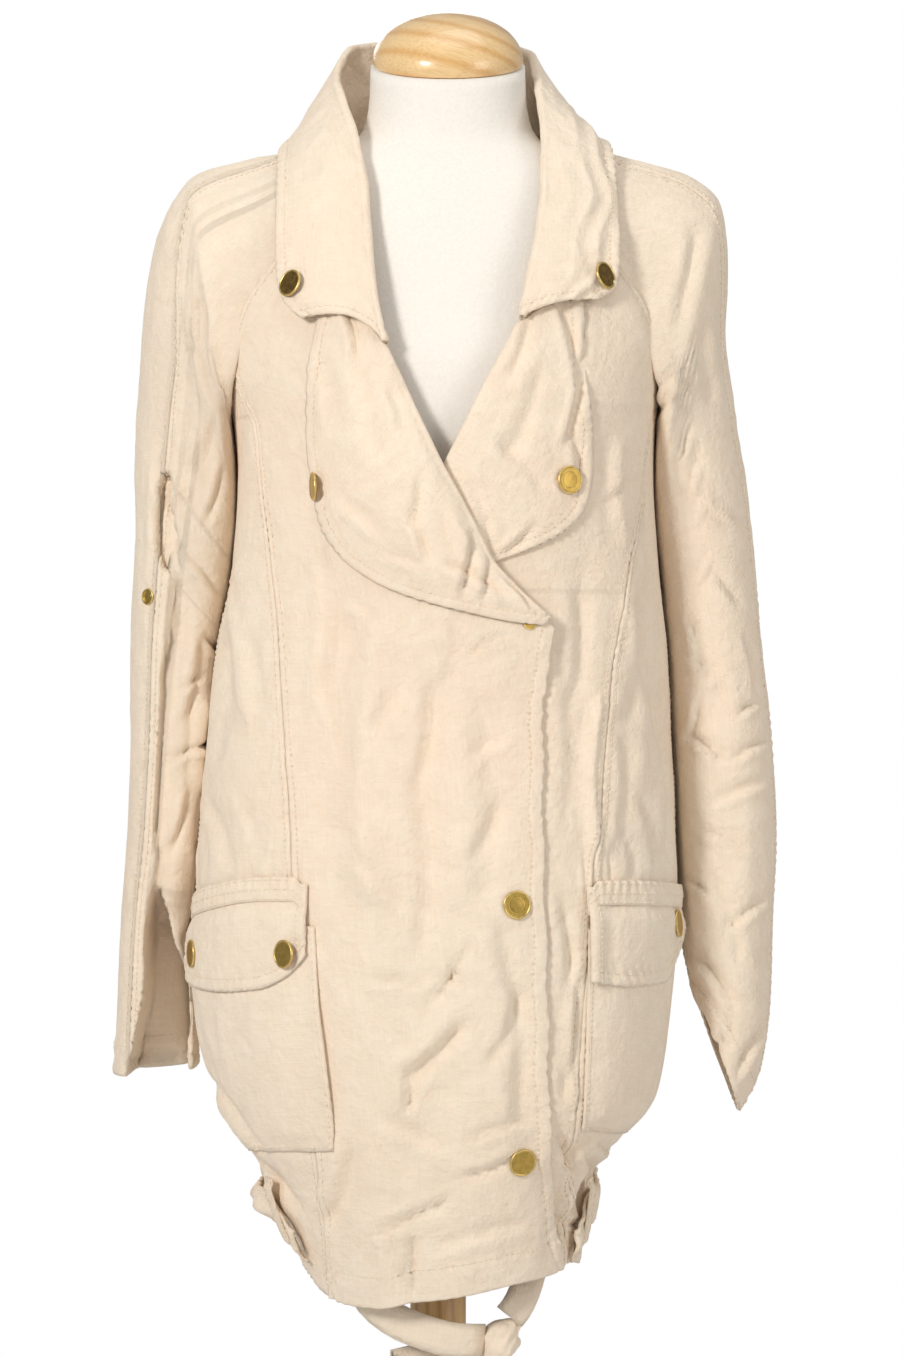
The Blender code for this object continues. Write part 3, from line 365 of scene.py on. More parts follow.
def sew(line, normal):
    """Places stitches along a line of points on the cloth."""
    line, normal = np.asarray(line, float), np.asarray(normal, float)
    run = run_along(line)
    if run[-1] < 2 * STITCH_PITCH:
        return
    starts = np.arange(0.5 * (STITCH_PITCH - STITCH), run[-1] - STITCH, STITCH_PITCH)
    ends = starts + STITCH

    def at(place, values):
        return np.stack([np.interp(place, run, values[:, k]) for k in range(3)], axis=-1)

    first, last, facing = at(starts, line), at(ends, line), at((starts + ends) / 2, normal)
    along = last - first
    along /= np.linalg.norm(along, axis=1, keepdims=True) + 1e-9
    facing = facing - along * (facing * along).sum(1, keepdims=True)
    facing /= np.linalg.norm(facing, axis=1, keepdims=True) + 1e-9
    STITCHES.append((first + facing * STITCH_LIFT, last + facing * STITCH_LIFT, facing))


def stitched_mesh(name, colour_of_thread):
    """All stitches as one piece, each a closed prism of four sides with narrow ends."""
    first, last, facing = (np.concatenate([s[k] for s in STITCHES]) for k in range(3))
    along = last - first
    beside = np.cross(facing, along)
    beside /= np.linalg.norm(beside, axis=1, keepdims=True)
    corners = []
    for share, radius in ((0, 0.35), (0.16, 1), (0.84, 1), (1, 0.35)):
        middle = first + along * share
        sink = -THREAD * (1 - radius)
        for quarter in (0.25, 0.75, 1.25, 1.75):
            angle = quarter * math.pi
            corners.append(middle + facing * (sink + THREAD * radius * math.sin(angle))
                           + beside * THREAD * radius * math.cos(angle))
    points = np.stack(corners, axis=1)
    quads = [(k + c, k + (c + 1) % 4, k + 4 + (c + 1) % 4, k + 4 + c)
             for k in (0, 4, 8) for c in range(4)]
    quads += [(3, 2, 1, 0), (12, 13, 14, 15)]
    quads = np.array(quads)[None] + (np.arange(len(points)) * len(corners))[:, None, None]
    piece = mesh_piece(name, points.reshape(-1, 3), quads.reshape(-1, 4).tolist(), colour_of_thread)
    facing_out(piece)
    return piece


def mesh_piece(name, points, faces, material, uv=None):
    mesh = bpy.data.meshes.new(name)
    mesh.from_pydata((np.asarray(points) * MM).tolist(), [], faces)
    mesh.polygons.foreach_set("use_smooth", [True] * len(mesh.polygons))
    if uv is not None:
        layer = mesh.uv_layers.new(name="cut")
        corners = np.zeros(len(mesh.loops), int)
        mesh.loops.foreach_get("vertex_index", corners)
        layer.data.foreach_set("uv", (np.asarray(uv)[corners] * MM).ravel())
    mesh.materials.append(material)
    mesh.update()
    piece = bpy.data.objects.new(name, mesh)
    scene.collection.objects.link(piece)
    return piece


def facing_out(piece):
    """Turns a closed mesh's faces outwards."""
    shape = bmesh.new()
    shape.from_mesh(piece.data)
    bmesh.ops.recalc_face_normals(shape, faces=shape.faces)
    shape.to_mesh(piece.data)
    shape.free()


def shell_faces(rows, columns):
    """Faces of a closed shell: its outer grid, the inner one listed after it, and the rims."""
    layer = rows * columns
    row, place = np.meshgrid(np.arange(rows - 1) * columns, np.arange(columns - 1), indexing="ij")
    here = (row + place).reshape(-1)
    behind = here + layer
    low = np.arange(columns - 1)
    top = low + layer - columns
    left = np.arange(rows - 1) * columns
    right = left + columns - 1
    faces = [(here, here + 1, here + 1 + columns, here + columns),
             (behind, behind + columns, behind + 1 + columns, behind + 1),
             (low + layer, low + 1 + layer, low + 1, low),
             (top, top + 1, top + 1 + layer, top + layer),
             (left, left + columns, left + columns + layer, left + layer),
             (right + layer, right + columns + layer, right + columns, right)]
    return np.concatenate([np.stack(corners, -1) for corners in faces]).tolist()


def fitted(piece, node):
    """Rides the body and stands for a node of the solids, whose own piece it hides."""
    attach(piece, "root")
    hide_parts(node)


def cloth_piece(node, grid, edges, seed, push=0.0, wrinkle=1.0, thick=CLOTH):
    """A thin shell on a grid of mid points, with its wrinkles, seams, hems and stitches.

    edges gives some sides a kind: ("seam" or "hem", distance of the stitches, strength).
    """
    places = edge_places(grid)
    across, up = places["left"]
    relief = np.zeros(grid.shape[:2])
    calm = np.ones(grid.shape[:2])
    extra = np.zeros(grid.shape[:2])
    for k, (side, (kind, width, strength)) in enumerate(edges.items()):
        inward, along = places[side]
        calm = calm * ease(0, 9, inward)
        shape = hem_relief if kind == "hem" else seam_relief
        relief = relief + shape(inward, along, width, seed + k, strength)
        if kind == "hem":
            extra = np.maximum(extra, HEM_EXTRA * (1 - ease(width, width + 1.5, inward)))
    relief = relief + wrinkle * calm * crinkle(across, up, seed) + push
    middle = grid + grid_normals(grid) * relief[..., None]
    normal = grid_normals(middle)
    outer = middle + normal * (thick / 2 + extra / 2)[..., None]
    inner = middle - normal * (thick / 2)
    points = np.concatenate([outer.reshape(-1, 3), inner.reshape(-1, 3)])
    flat = np.stack([across, up], -1).reshape(-1, 2)
    piece = mesh_piece("cloth_" + node, points, shell_faces(*grid.shape[:2]), linen,
                       np.concatenate([flat, flat + 3.0]))
    fitted(piece, node)
    for side, (_, width, _) in edges.items():
        sew_beside(outer, normal, places[side][0], side, width)
    return outer, normal, places


def sew_beside(outer, normal, inward, side, width):
    """A row of stitches at one distance in from a side of a piece."""
    if side in ("low", "top"):
        outer, normal, inward = (v.swapaxes(0, 1) for v in (outer, normal, inward))
    if side in ("right", "top"):
        outer, normal, inward = outer[:, ::-1], normal[:, ::-1], inward[:, ::-1]
    line, facing = [], []
    for i in range(len(inward)):
        if inward[i, -1] <= width + 1:
            continue
        k = int(np.searchsorted(inward[i], width)) - 1
        k = max(0, min(k, inward.shape[1] - 2))
        share = (width - inward[i, k]) / max(inward[i, k + 1] - inward[i, k], 1e-6)
        line.append(outer[i, k] * (1 - share) + outer[i, k + 1] * share)
        facing.append(normal[i, k])
    if len(line) > 2:
        sew(line, facing)


def spaced(stops, step=STEP):
    """Evenly spaced places between stops, each stop kept."""
    stops = np.asarray(stops, float)
    runs = [np.linspace(a, b, max(2, int(abs(b - a) / step) + 1))[:-1]
            for a, b in zip(stops, stops[1:])]
    return np.concatenate(runs + [stops[-1:]])

# ---------------------------------------------------------------- finishes

def group(name, inputs, outputs):
    """An empty node group with named sockets; an input without a value is a vector."""
    made = bpy.data.node_groups.new(name, "ShaderNodeTree")
    for socket, value in inputs.items():
        kind = "NodeSocketVector" if value is None else "NodeSocketFloat"
        added = made.interface.new_socket(name=socket, in_out="INPUT", socket_type=kind)
        if value is not None:
            added.default_value = value
    for socket in outputs:
        made.interface.new_socket(name=socket, in_out="OUTPUT", socket_type="NodeSocketFloat")
    return made, made.nodes.new("NodeGroupInput"), made.nodes.new("NodeGroupOutput")


def add_node(tree, kind, settings=None, **values):
    """A shader node with its settings and socket values set by name."""
    node = tree.nodes.new("ShaderNode" + kind)
    for key, value in (settings or {}).items():
        setattr(node, key, value)
    for key, value in values.items():
        node.inputs[key.replace("_", " ")].default_value = value
    return node


def math_node(tree, operation, first, second):
    node = tree.nodes.new("ShaderNodeMath")
    node.operation = operation
    for socket, value in zip(node.inputs, (first, second)):
        if isinstance(value, (int, float)):
            socket.default_value = value
        else:
            tree.links.new(value, socket)
    return node.outputs[0]


def stretched(tree, vector, scale):
    node = add_node(tree, "Mapping")
    node.inputs["Scale"].default_value = scale
    tree.links.new(vector, node.inputs["Vector"])
    return node.outputs["Vector"]


def noise(tree, vector, scale, detail=2.0, rough=0.5):
    node = add_node(tree, "TexNoise", Scale=scale, Detail=detail, Roughness=rough)
    tree.links.new(vector, node.inputs["Vector"])
    return node.outputs["Fac"]


def weave_group():
    """Plain weave with slubs: yarns across and along the cut, in metres of cloth."""
    made, inlet, outlet = group("plain_weave", {"Place": None, "Yarns": 1500.0, "Slub": 0.6},
                                ("Height", "Slubs"))
    place, yarns = inlet.outputs["Place"], inlet.outputs["Yarns"]
    across = noise(made, stretched(made, place, (950, 38, 1)), 1.0)
    along = noise(made, stretched(made, place, (38, 950, 1)), 1.0)
    slubs = math_node(made, "MULTIPLY", math_node(made, "ADD", across, along), 0.5)
    split = add_node(made, "SeparateXYZ")
    made.links.new(place, split.inputs[0])
    warp, weft = (math_node(made, "SINE", math_node(made, "MULTIPLY", split.outputs[k], yarns), 0)
                  for k in (0, 1))
    checker = math_node(made, "MULTIPLY", math_node(made, "MULTIPLY", warp, weft), 0.5)
    height = math_node(made, "ADD", math_node(made, "MULTIPLY", slubs, inlet.outputs["Slub"]),
                       math_node(made, "MULTIPLY", checker, 0.25))
    made.links.new(height, outlet.inputs["Height"])
    made.links.new(slubs, outlet.inputs["Slubs"])
    return made


def crush_group():
    """Fine crush creases that run every way, in metres: their height, and a painted shade along
    their troughs.
    """
    made, inlet, outlet = group("crushed_cloth", {"Place": None, "Scale": 1.0}, ("Height", "TroughShade"))
    parts = []
    for scale, share in ((32, 1.0), (75, 0.5), (180, 0.26)):
        bent = noise(made, inlet.outputs["Place"], scale, 3.0, 0.6)
        fold = math_node(made, "ABSOLUTE", math_node(made, "SUBTRACT", bent, 0.5), 0)
        parts.append(math_node(made, "MULTIPLY", fold, share))
    total = math_node(made, "ADD", math_node(made, "ADD", parts[0], parts[1]), parts[2])
    total = math_node(made, "MULTIPLY", total, inlet.outputs["Scale"])
    # painted shade: 1 along the troughs of the largest crush creases, where shade falls
    crease_lines = math_node(made, "SUBTRACT", 1.0, math_node(made, "MULTIPLY", parts[0], 9.0))
    made.links.new(total, outlet.inputs["Height"])
    made.links.new(math_node(made, "MAXIMUM", crease_lines, 0.0), outlet.inputs["TroughShade"])
    return made


def grain_group():
    """Growth rings along a timber, cut by fine pores, in metres."""
    made, inlet, outlet = group("timber_grain", {"Place": None, "Rings": 60.0, "Wander": 0.02},
                                ("Rings", "Pores"))
    place = inlet.outputs["Place"]
    slow = noise(made, stretched(made, place, (9, 9, 3)), 1.0)
    split = add_node(made, "SeparateXYZ")
    made.links.new(place, split.inputs[0])
    bent = math_node(made, "ADD", split.outputs[0],
                     math_node(made, "MULTIPLY", slow, inlet.outputs["Wander"]))
    wave = math_node(made, "SINE", math_node(made, "MULTIPLY", bent, inlet.outputs["Rings"]), 0)
    rings = math_node(made, "MULTIPLY", math_node(made, "ADD", wave, 1.0), 0.5)
    pores = noise(made, stretched(made, place, (900, 900, 60)), 1.0)
    made.links.new(math_node(made, "POWER", rings, 2.2), outlet.inputs["Rings"])
    made.links.new(pores, outlet.inputs["Pores"])
    return made


WEAVE, CRUSH, GRAIN = weave_group(), crush_group(), grain_group()


def finish_start(name, roughness, **sockets):
    """A new material: its tree, its Principled shader and its object and cut coordinates."""
    made = bpy.data.materials.new(name)
    made.use_nodes = True
    tree = made.node_tree
    shader = tree.nodes["Principled BSDF"]
    shader.inputs["Roughness"].default_value = roughness
    for key, value in sockets.items():
        shader.inputs[key.replace("_", " ")].default_value = value
    where = tree.nodes.new("ShaderNodeTexCoord")
    return made, tree, shader, where


def use_group(tree, made, **inputs):
    node = tree.nodes.new("ShaderNodeGroup")
    node.node_tree = made
    for key, value in inputs.items():
        if isinstance(value, (int, float)):
            node.inputs[key].default_value = value
        else:
            tree.links.new(value, node.inputs[key])
    return node


def blend_colours(tree, share, first, second, low=0.0, high=1.0):
    """Two colours mixed by a value read between low and high."""
    ramp = tree.nodes.new("ShaderNodeValToRGB")
    ramp.color_ramp.elements[0].position = low
    ramp.color_ramp.elements[1].position = high
    ramp.color_ramp.elements[0].color = (*first, 1)
    ramp.color_ramp.elements[1].color = (*second, 1)
    tree.links.new(share, ramp.inputs["Fac"])
    return ramp.outputs["Color"]


def mixed(tree, share, first, second, how="MIX"):
    node = tree.nodes.new("ShaderNodeMix")
    node.data_type = "RGBA"
    node.blend_type = how
    if isinstance(share, (int, float)):
        node.inputs[0].default_value = share
    else:
        tree.links.new(share, node.inputs[0])
    tree.links.new(first, node.inputs[6])
    tree.links.new(second, node.inputs[7])
    return node.outputs[2]


def bumped(tree, shader, heights):
    """Bump nodes in a row, one for each (height, strength, depth)."""
    last = None
    for height, strength, depth in heights:
        bump = add_node(tree, "Bump", Strength=strength, Distance=depth)
        tree.links.new(height, bump.inputs["Height"])
        if last is not None:
            tree.links.new(last, bump.inputs["Normal"])
        last = bump.outputs["Normal"]
    tree.links.new(last, shader.inputs["Normal"])


WHITE = (1.0, 1.0, 1.0)


def linen_finish(name, light, deep, crush=1.0):
    """Washed linen: cream to peach, with slubs, crush creases with a painted shade in their
    troughs, and a plain weave.
    """
    made, tree, shader, where = finish_start(name, 0.9, Sheen_Weight=0.12, Sheen_Roughness=0.6,
                                             Specular_IOR_Level=0.2, Subsurface_Weight=0.04,
                                             Subsurface_Scale=0.001)
    cloud = noise(tree, where.outputs["Object"], 5.0, 3.0)
    weave = use_group(tree, WEAVE, Place=where.outputs["UV"], Yarns=5200.0)
    crushed = use_group(tree, CRUSH, Place=where.outputs["Object"], Scale=crush)
    base = blend_colours(tree, cloud, light, deep, 0.38, 0.66)
    slubbed = blend_colours(tree, weave.outputs["Slubs"], (0.945, 0.935, 0.92), WHITE, 0.36, 0.6)
    # painted shade, a little darker along the crush creases' troughs
    trough_shaded = blend_colours(tree, crushed.outputs["TroughShade"], WHITE, (0.975, 0.965, 0.95))
    colour = mixed(tree, 1.0, mixed(tree, 1.0, base, slubbed, "MULTIPLY"), trough_shaded, "MULTIPLY")
    tree.links.new(colour, shader.inputs["Base Color"])
    bumped(tree, shader, [(crushed.outputs["Height"], 0.6, 0.006),
                          (weave.outputs["Height"], 0.8, 0.0006)])
    return made


def jersey_finish():
    made, tree, shader, where = finish_start("form_jersey_knit", 0.85, Sheen_Weight=0.1,
                                             Specular_IOR_Level=0.25)
    fine = noise(tree, stretched(tree, where.outputs["Object"], (1400, 1400, 420)), 1.0, 1.0)
    fluff = noise(tree, where.outputs["Object"], 420.0, 3.0)
    colour = blend_colours(tree, fluff, (0.86, 0.808, 0.735), (0.895, 0.848, 0.778), 0.35, 0.65)
    tree.links.new(colour, shader.inputs["Base Color"])
    bumped(tree, shader, [(fluff, 0.25, 0.0012), (fine, 0.3, 0.0005)])
    return made


def timber_finish(name, pale, dark, rings, wander, roughness, coat, lean):
    made, tree, shader, where = finish_start(name, roughness, Coat_Weight=coat, Coat_Roughness=0.12)
    turned = add_node(tree, "Mapping")
    turned.inputs["Rotation"].default_value = (0, math.radians(lean), 0)
    tree.links.new(where.outputs["Object"], turned.inputs["Vector"])
    grain = use_group(tree, GRAIN, Place=turned.outputs["Vector"], Rings=rings, Wander=wander)
    ringed = blend_colours(tree, grain.outputs["Rings"], pale, dark, 0.1, 1.0)
    pored = blend_colours(tree, grain.outputs["Pores"], (0.86, 0.82, 0.78), WHITE, 0.3, 0.55)
    tree.links.new(mixed(tree, 1.0, ringed, pored, "MULTIPLY"), shader.inputs["Base Color"])
    bumped(tree, shader, [(grain.outputs["Pores"], 0.12, 0.0004)])
    return made


def brass_finish(name, bright, dull):
    made, tree, shader, where = finish_start(name, 0.3, Metallic=1.0)
    stain = noise(tree, where.outputs["Object"], 320.0, 4.0, 0.6)
    scratch = noise(tree, stretched(tree, where.outputs["Object"], (2600, 400, 2600)), 1.0, 2.0)
    colour = blend_colours(tree, stain, dull, bright, 0.36, 0.62)
    tree.links.new(colour, shader.inputs["Base Color"])
    rough = add_node(tree, "MapRange", To_Min=0.34, To_Max=0.46)
    tree.links.new(stain, rough.inputs["Value"])
    tree.links.new(rough.outputs["Result"], shader.inputs["Roughness"])
    bumped(tree, shader, [(scratch, 0.12, 0.0003)])
    return made


linen = linen_finish("washed_linen", (0.925, 0.797, 0.64), (0.935, 0.777, 0.615))
thread = linen_finish("linen_thread", (0.93, 0.82, 0.67), (0.90, 0.77, 0.61), 0.3)
knit = jersey_finish()
cap_timber = timber_finish("varnished_cap_timber", (0.86, 0.60, 0.30), (0.74, 0.44, 0.17),
                           430, 0.035, 0.3, 0.5, 72)
pole_timber = timber_finish("turned_pole_timber", (0.68, 0.44, 0.20), (0.50, 0.29, 0.11),
                            700, 0.03, 0.45, 0.2, 0)
brass_field = brass_finish("aged_brass", (0.56, 0.38, 0.10), (0.44, 0.29, 0.075))
# a darker copy of the snaps' brass: painted shade for the collar's snaps
brass_shaded = brass_finish("shaded_brass", (0.30, 0.19, 0.055), (0.17, 0.105, 0.03))
brass_rim = brass_finish("worn_brass_rim", (0.80, 0.60, 0.24), (0.62, 0.44, 0.15))
floor_paint = finish_start("pale_floor", 0.9)[0]
floor_shader = floor_paint.node_tree.nodes["Principled BSDF"]
floor_shader.inputs["Base Color"].default_value = (0.86, 0.86, 0.86, 1)

# ---------------------------------------------------------------- creases listed one by one

# From (x, height) to (x, height) in the front view, half width, depth; a minus depth is a ridge.
FRONT_CREASES = np.array([
    (-9, 1023, -17, 957, 7, 1.6), (-17, 957, -14, 849, 9, 1.4), (-78, 1119, -79, 1027, 9, 1.5),
    (-79, 1027, -64, 963, 9, 1.3), (18, 1046, 37, 1055, 3, 1.8), (15, 847, -10, 809, 4, 1.5),
    (-3, 844, 7, 813, 4, 1.0), (-10, 827, 17, 820, 3.5, 1.0), (-50, 825, -21, 821, 4, 1.4),
    (12, 794, -24, 759, 7, 2.3), (-24, 759, -25, 736, 5, 2.5), (44, 701, 13, 690, 5, 1.8),
    (2, 674, -19, 664, 4, 1.8), (-19, 664, -49, 650, 4, 1.5), (-44, 1068, -49, 878, 16, -2.0),
    (24, 1014, 27, 878, 16, 1.5), (38, 857, 51, 728, 10, 1.5), (-63, 708, -78, 654, 8, 2.0),
    (-40, 650, -29, 613, 5, 1.6), (-23, 647, -24, 603, 2.6, 2.0), (17, 715, 58, 728, 4, 1.2),
    (-3, 640, 51, 654, 6, 1.0), (17, 973, 41, 990, 5, 1.1), (-34, 1020, -49, 993, 6, 1.0),
    (38, 946, 17, 905, 7, 1.1), (-57, 905, -27, 874, 6, 1.1), (51, 817, 31, 769, 6, 1.3),
    (-40, 728, -3, 708, 6, 1.2), (7, 1068, 2, 1027, 5, 1.0), (-61, 1082, -34, 1054, 5, 0.9),
])
UNDER_CREASES = np.array([
    (92, 1087, 89, 1012, 7, 1.2), (140, 1096, 127, 1000, 8, 1.1), (79, 1041, 83, 925, 7, 0.8),
    (106, 1014, 104, 911, 6, -1.2), (80, 877, 84, 747, 6, 1.5), (91, 836, 88, 740, 5, -1.5),
    (76, 719, 89, 685, 5, 2.0), (79, 685, 101, 713, 4, 1.6), (83, 637, 79, 672, 5, 2.0),
    (120, 1191, 125, 1123, 7, -1.2), (79, 986, 99, 969, 4, 0.9), (128, 1171, 113, 1150, 4, 0.9),
    (106, 692, 86, 654, 6, 1.8), (93, 644, 79, 654, 4, 1.4),
])
SIDE_RIGHT_CREASES = np.array([
    (-156, 1055, -163, 971, 10, 1.5), (-143, 1111, -136, 999, 9, -1.3),
    (-168, 943, -150, 896, 6, 1.4), (-149, 1224, -149, 1167, 3, 1.3),
    (-140, 943, -128, 903, 5, 1.2), (-163, 744, -128, 699, 6, 2.2),
    (-154, 716, -133, 686, 4, 2.0), (-136, 1055, -128, 985, 5, 1.0),
    (-154, 1111, -143, 1069, 5, 1.1), (-133, 688, -101, 657, 6, 2.0),
    (-124, 653, -101, 620, 6, 1.8),
])
SIDE_LEFT_CREASES = np.array([
    (136, 1083, 147, 957, 9, 1.6), (150, 1013, 156, 908, 6, 1.4), (124, 985, 118, 908, 6, 1.1),
    (140, 1125, 147, 1083, 5, 1.1), (136, 943, 147, 894, 4, 1.3), (121, 929, 129, 893, 4, 1.3),
    (108, 706, 122, 688, 5, 1.8), (98, 699, 108, 664, 5, 1.8),
])
SLEEVE_RIGHT_CREASES = np.array([
    (-190, 1290, -199, 1241, 5, 2.2), (-199, 1241, -201, 1169, 5, 2.4),
    (-201, 1169, -193, 1104, 4, 2.6), (-190, 1169, -188, 1112, 5, -1.8),
    (-198, 968, -168, 982, 4, 1.8), (-170, 1058, -163, 1046, 4, 1.5),
    (-209, 1275, -214, 1155, 8, -1.5), (-173, 1056, -184, 999, 8, 1.5),
    (-183, 942, -195, 907, 6, 1.6), (-171, 1013, -176, 942, 7, -1.3),
    (-180, 1112, -163, 1091, 5, 1.3), (-170, 1296, -183, 1254, 8, 1.3),
    (-163, 1211, -176, 1176, 6, 1.3), (-188, 1020, -173, 1030, 4, 1.2),
    (-176, 907, -185, 843, 6, 1.6), (-219, 1056, -217, 971, 4, 1.2),
    (-165, 1275, -156, 1225, 7, -1.2), (-158, 1176, -170, 1141, 5, 1.2),
])
SLEEVE_LEFT_CREASES = np.array([
    (147, 1230, 176, 1250, 6, 1.0), (149, 1216, 171, 1229, 6, 0.8),
    (177, 1341, 162, 1283, 9, 1.3), (177, 1043, 191, 1027, 6, 1.3),
    (191, 1027, 199, 1006, 5, 1.5), (176, 987, 198, 968, 5, 2.2), (210, 1003, 223, 1011, 4, 1.5),
    (177, 883, 188, 874, 4, 1.6), (209, 748, 229, 777, 5, 2.0), (181, 1112, 209, 1084, 6, 1.5),
    (174, 1169, 205, 1141, 7, -1.5), (195, 942, 227, 955, 6, 1.5), (184, 921, 212, 907, 5, 1.4),
    (202, 850, 229, 870, 5, 1.4), (181, 829, 205, 794, 6, 1.8), (169, 1197, 183, 1176, 5, 1.4),
    (188, 1275, 196, 1225, 7, -1.4), (174, 1070, 181, 1041, 4, 1.3),
    (215, 1056, 223, 1020, 5, 1.3), (191, 886, 209, 829, 7, 1.4), (205, 971, 230, 983, 5, 1.2),
    (181, 1013, 175, 985, 4, 1.3), (205, 787, 192, 765, 5, 1.5),
])
# The back's, seen from the front.
BACK_CREASES = np.array([
    (-60, 1180, -20, 1120, 8, 1.6), (70, 1190, 30, 1125, 8, 1.6), (-120, 1140, -70, 1060, 7, 1.8),
    (118, 1150, 74, 1075, 7, 1.7), (-30, 1080, 12, 960, 10, 1.5), (46, 1010, 20, 880, 9, -1.8),
    (-86, 1000, -96, 850, 9, 1.7), (98, 990, 104, 842, 8, 1.5), (-52, 880, -30, 745, 8, 2.0),
    (20, 860, 34, 720, 7, 2.1), (76, 820, 66, 705, 6, 2.0), (-110, 800, -92, 702, 6, 2.0),
    (-6, 770, -12, 690, 5, 2.2), (-72, 640, -60, 618, 4, 1.4), (40, 642, 52, 616, 4, 1.4),
    (-140, 930, -118, 880, 6, 1.4), (134, 900, 116, 842, 6, 1.5), (-14, 1290, 26, 1262, 6, 1.2),
    (64, 1300, 92, 1268, 5, 1.3), (-70, 1310, -96, 1272, 5, 1.3),
])
# Creases at the back of both sleeves, x counted outwards.
SLEEVE_BACK_CREASES = np.array([
    (170, 1240, 205, 1190, 7, 1.6), (168, 1150, 206, 1112, 7, 1.8), (178, 1068, 214, 1032, 6, 2.2),
    (180, 1014, 218, 1022, 5, 2.0), (184, 980, 220, 962, 6, 2.2), (196, 930, 204, 868, 8, -1.6),
    (186, 900, 190, 832, 6, 1.7), (214, 905, 224, 842, 5, 1.5), (190, 1320, 176, 1268, 8, 1.4),
    (210, 1180, 212, 1100, 8, -1.3), (196, 800, 214, 782, 5, 1.4),
])

BODY_CREASES = np.concatenate([FRONT_CREASES, UNDER_CREASES, SIDE_RIGHT_CREASES,
                               SIDE_LEFT_CREASES])

# ---------------------------------------------------------------- sizes of the sewn pieces

FORM_MIDDLE = 2.0    # the neck sits a little to the wearer's left of the jacket's middle
POLE_X = -5.0
RIM_SLOPE = 0.36     # the neck is cut sloping down to the front
FORM = np.array([    # height, half width, depth in front and at the back
    (766, 142, 96, 94), (770, 148, 101, 99), (800, 149, 103, 103), (850, 146, 99, 101),
    (910, 134, 90, 90), (970, 120, 82, 82), (1030, 116, 82, 80), (1090, 120, 95, 84),
    (1140, 128, 110, 88), (1190, 133, 117, 90), (1240, 138, 112, 90), (1290, 148, 98, 84),
    (1337, 153.5, 84, 76), (1371, 145, 72, 67), (1390, 117, 63, 62), (1404, 87, 56, 57),
    (1420, 62, 53, 55), (1445, 56.5, 53, 54), (1471, 55.5, 53, 54),
])


def hem_at(x):
    return column(HEM_FRONT, 1, x)


def front_panel(heights, low_x, high_x, columns, out, clear_low, clear_high):
    """A panel of the front between two lines, with rows at the given heights."""
    share = np.asarray(columns, float)[None]
    rows = np.asarray(heights, float)[:, None]
    fade = 1 - ease(0, 1, (rows - rows[0]) / 90)
    height = rows + 0 * share
    for _ in range(3):
        left = turn_at(low_x(height), height) + clear_low
        right = turn_at(high_x(height), height) - clear_high
        turn = left + (right - left) * share
        height = rows + fade * (hem_at(body_point(turn, height)[..., 0]) - rows[0])
    return body_point(turn, height, out(turn, height))


def top_front_out(turn, height):
    """The top front stands off the front under it, more where it crosses the lapel below."""
    x = body_size("right", height) * np.sin(turn)
    crossing = ease(-60, -10, x) * ease(1010, 1075, height) * (1 - ease(1185, 1235, height))
    return OVERLAP * ease(-105, -60, x) + 6.5 * crossing


def right_front_outer(height):
    raglan = SEAM - line_x(RAGLAN_FRONT, height)
    return np.where(height < 1253, np.maximum(line_x(PRINCESS_RIGHT, height), raglan), raglan)


def right_front_inner(height):
    uneven = 0.6 + 0.4 * np.sin(height / 37)
    wavy = 0.8 * uneven * np.sin(height / 2.1 + 2 * np.sin(height / 17))
    wavy = wavy + 0.8 * np.sin(height / 9.5)
    wavy = wavy * (1 - ease(1040, 1062, height))
    return np.where(height < OVERLAP_TOP, line_x(OVERLAP_EDGE, height) + wavy,
                    np.where(height < NOTCH_RIGHT, line_x(ROLL_RIGHT, height) - EDGE_INSIDE,
                             line_x(NECKLINE_RIGHT, height) - SEAM))


def left_front_outer(height):
    raglan = line_x(RAGLAN_FRONT, height) - SEAM
    return np.where(height < 1219, np.minimum(line_x(PRINCESS_LEFT, height), raglan), raglan)


def left_front_inner(height):
    hidden = np.full(np.shape(height), -44.0)
    return np.where(height < HIDDEN_TOP, hidden,
                    np.where(height < NOTCH_LEFT, line_x(ROLL_LEFT, height) + EDGE_INSIDE,
                             line_x(NECKLINE_LEFT, height) + SEAM))


def toward_edges(width, step=3.4, near=12.0, close=1.15):
    """Shares from 0 to 1 across a width, closer together near both edges."""
    band = np.linspace(0, near, int(near / close) + 1)
    middle = np.linspace(near, width - near, max(2, int((width - 2 * near) / step)))
    return np.concatenate([band[:-1], middle, (width - band[:-1])[::-1]]) / width


SLEEVE_SHARES = toward_edges(95, 2.6)    # across one half of a sleeve
SLEEVE_ROWS = 250


def resample(points):
    """Points at the shares of a sleeve half along a line."""
    points = np.asarray(points, float)
    run = run_along(points)
    return curve_at(run, points, SLEEVE_SHARES * run[-1])


def raglan_ring():
    """The seam a sleeve starts on, for x >= 0: over the shoulder at 0, front, underarm, back."""
    neck_top = (82.0, 2.0, 1417.0)
    clear_front = [0.5, 0.2, 0.15, 0.15, 0.15, 0.15, 0.15]
    clear_back = [0.5, 0.2, 0.15, 0.15, 0.3, 0.6, 1.0]
    front = [body_point(turn_at(x + c, z), z) for (x, z), c in zip(RAGLAN_FRONT, clear_front)]
    back = [body_point(math.pi - np.arcsin(min(1, (x + c) / body_size("left", z))), z)
            for (x, z), c in zip(RAGLAN_BACK, clear_back)]
    front[0] = back[0] = np.array([151.6, 0, 1210.5])
    ahead = resample([neck_top, (76, -36, 1403)] + front[::-1])
    behind = resample(back + [(68, 44, 1413), neck_top])
    return np.concatenate([ahead, behind[1:-1]])


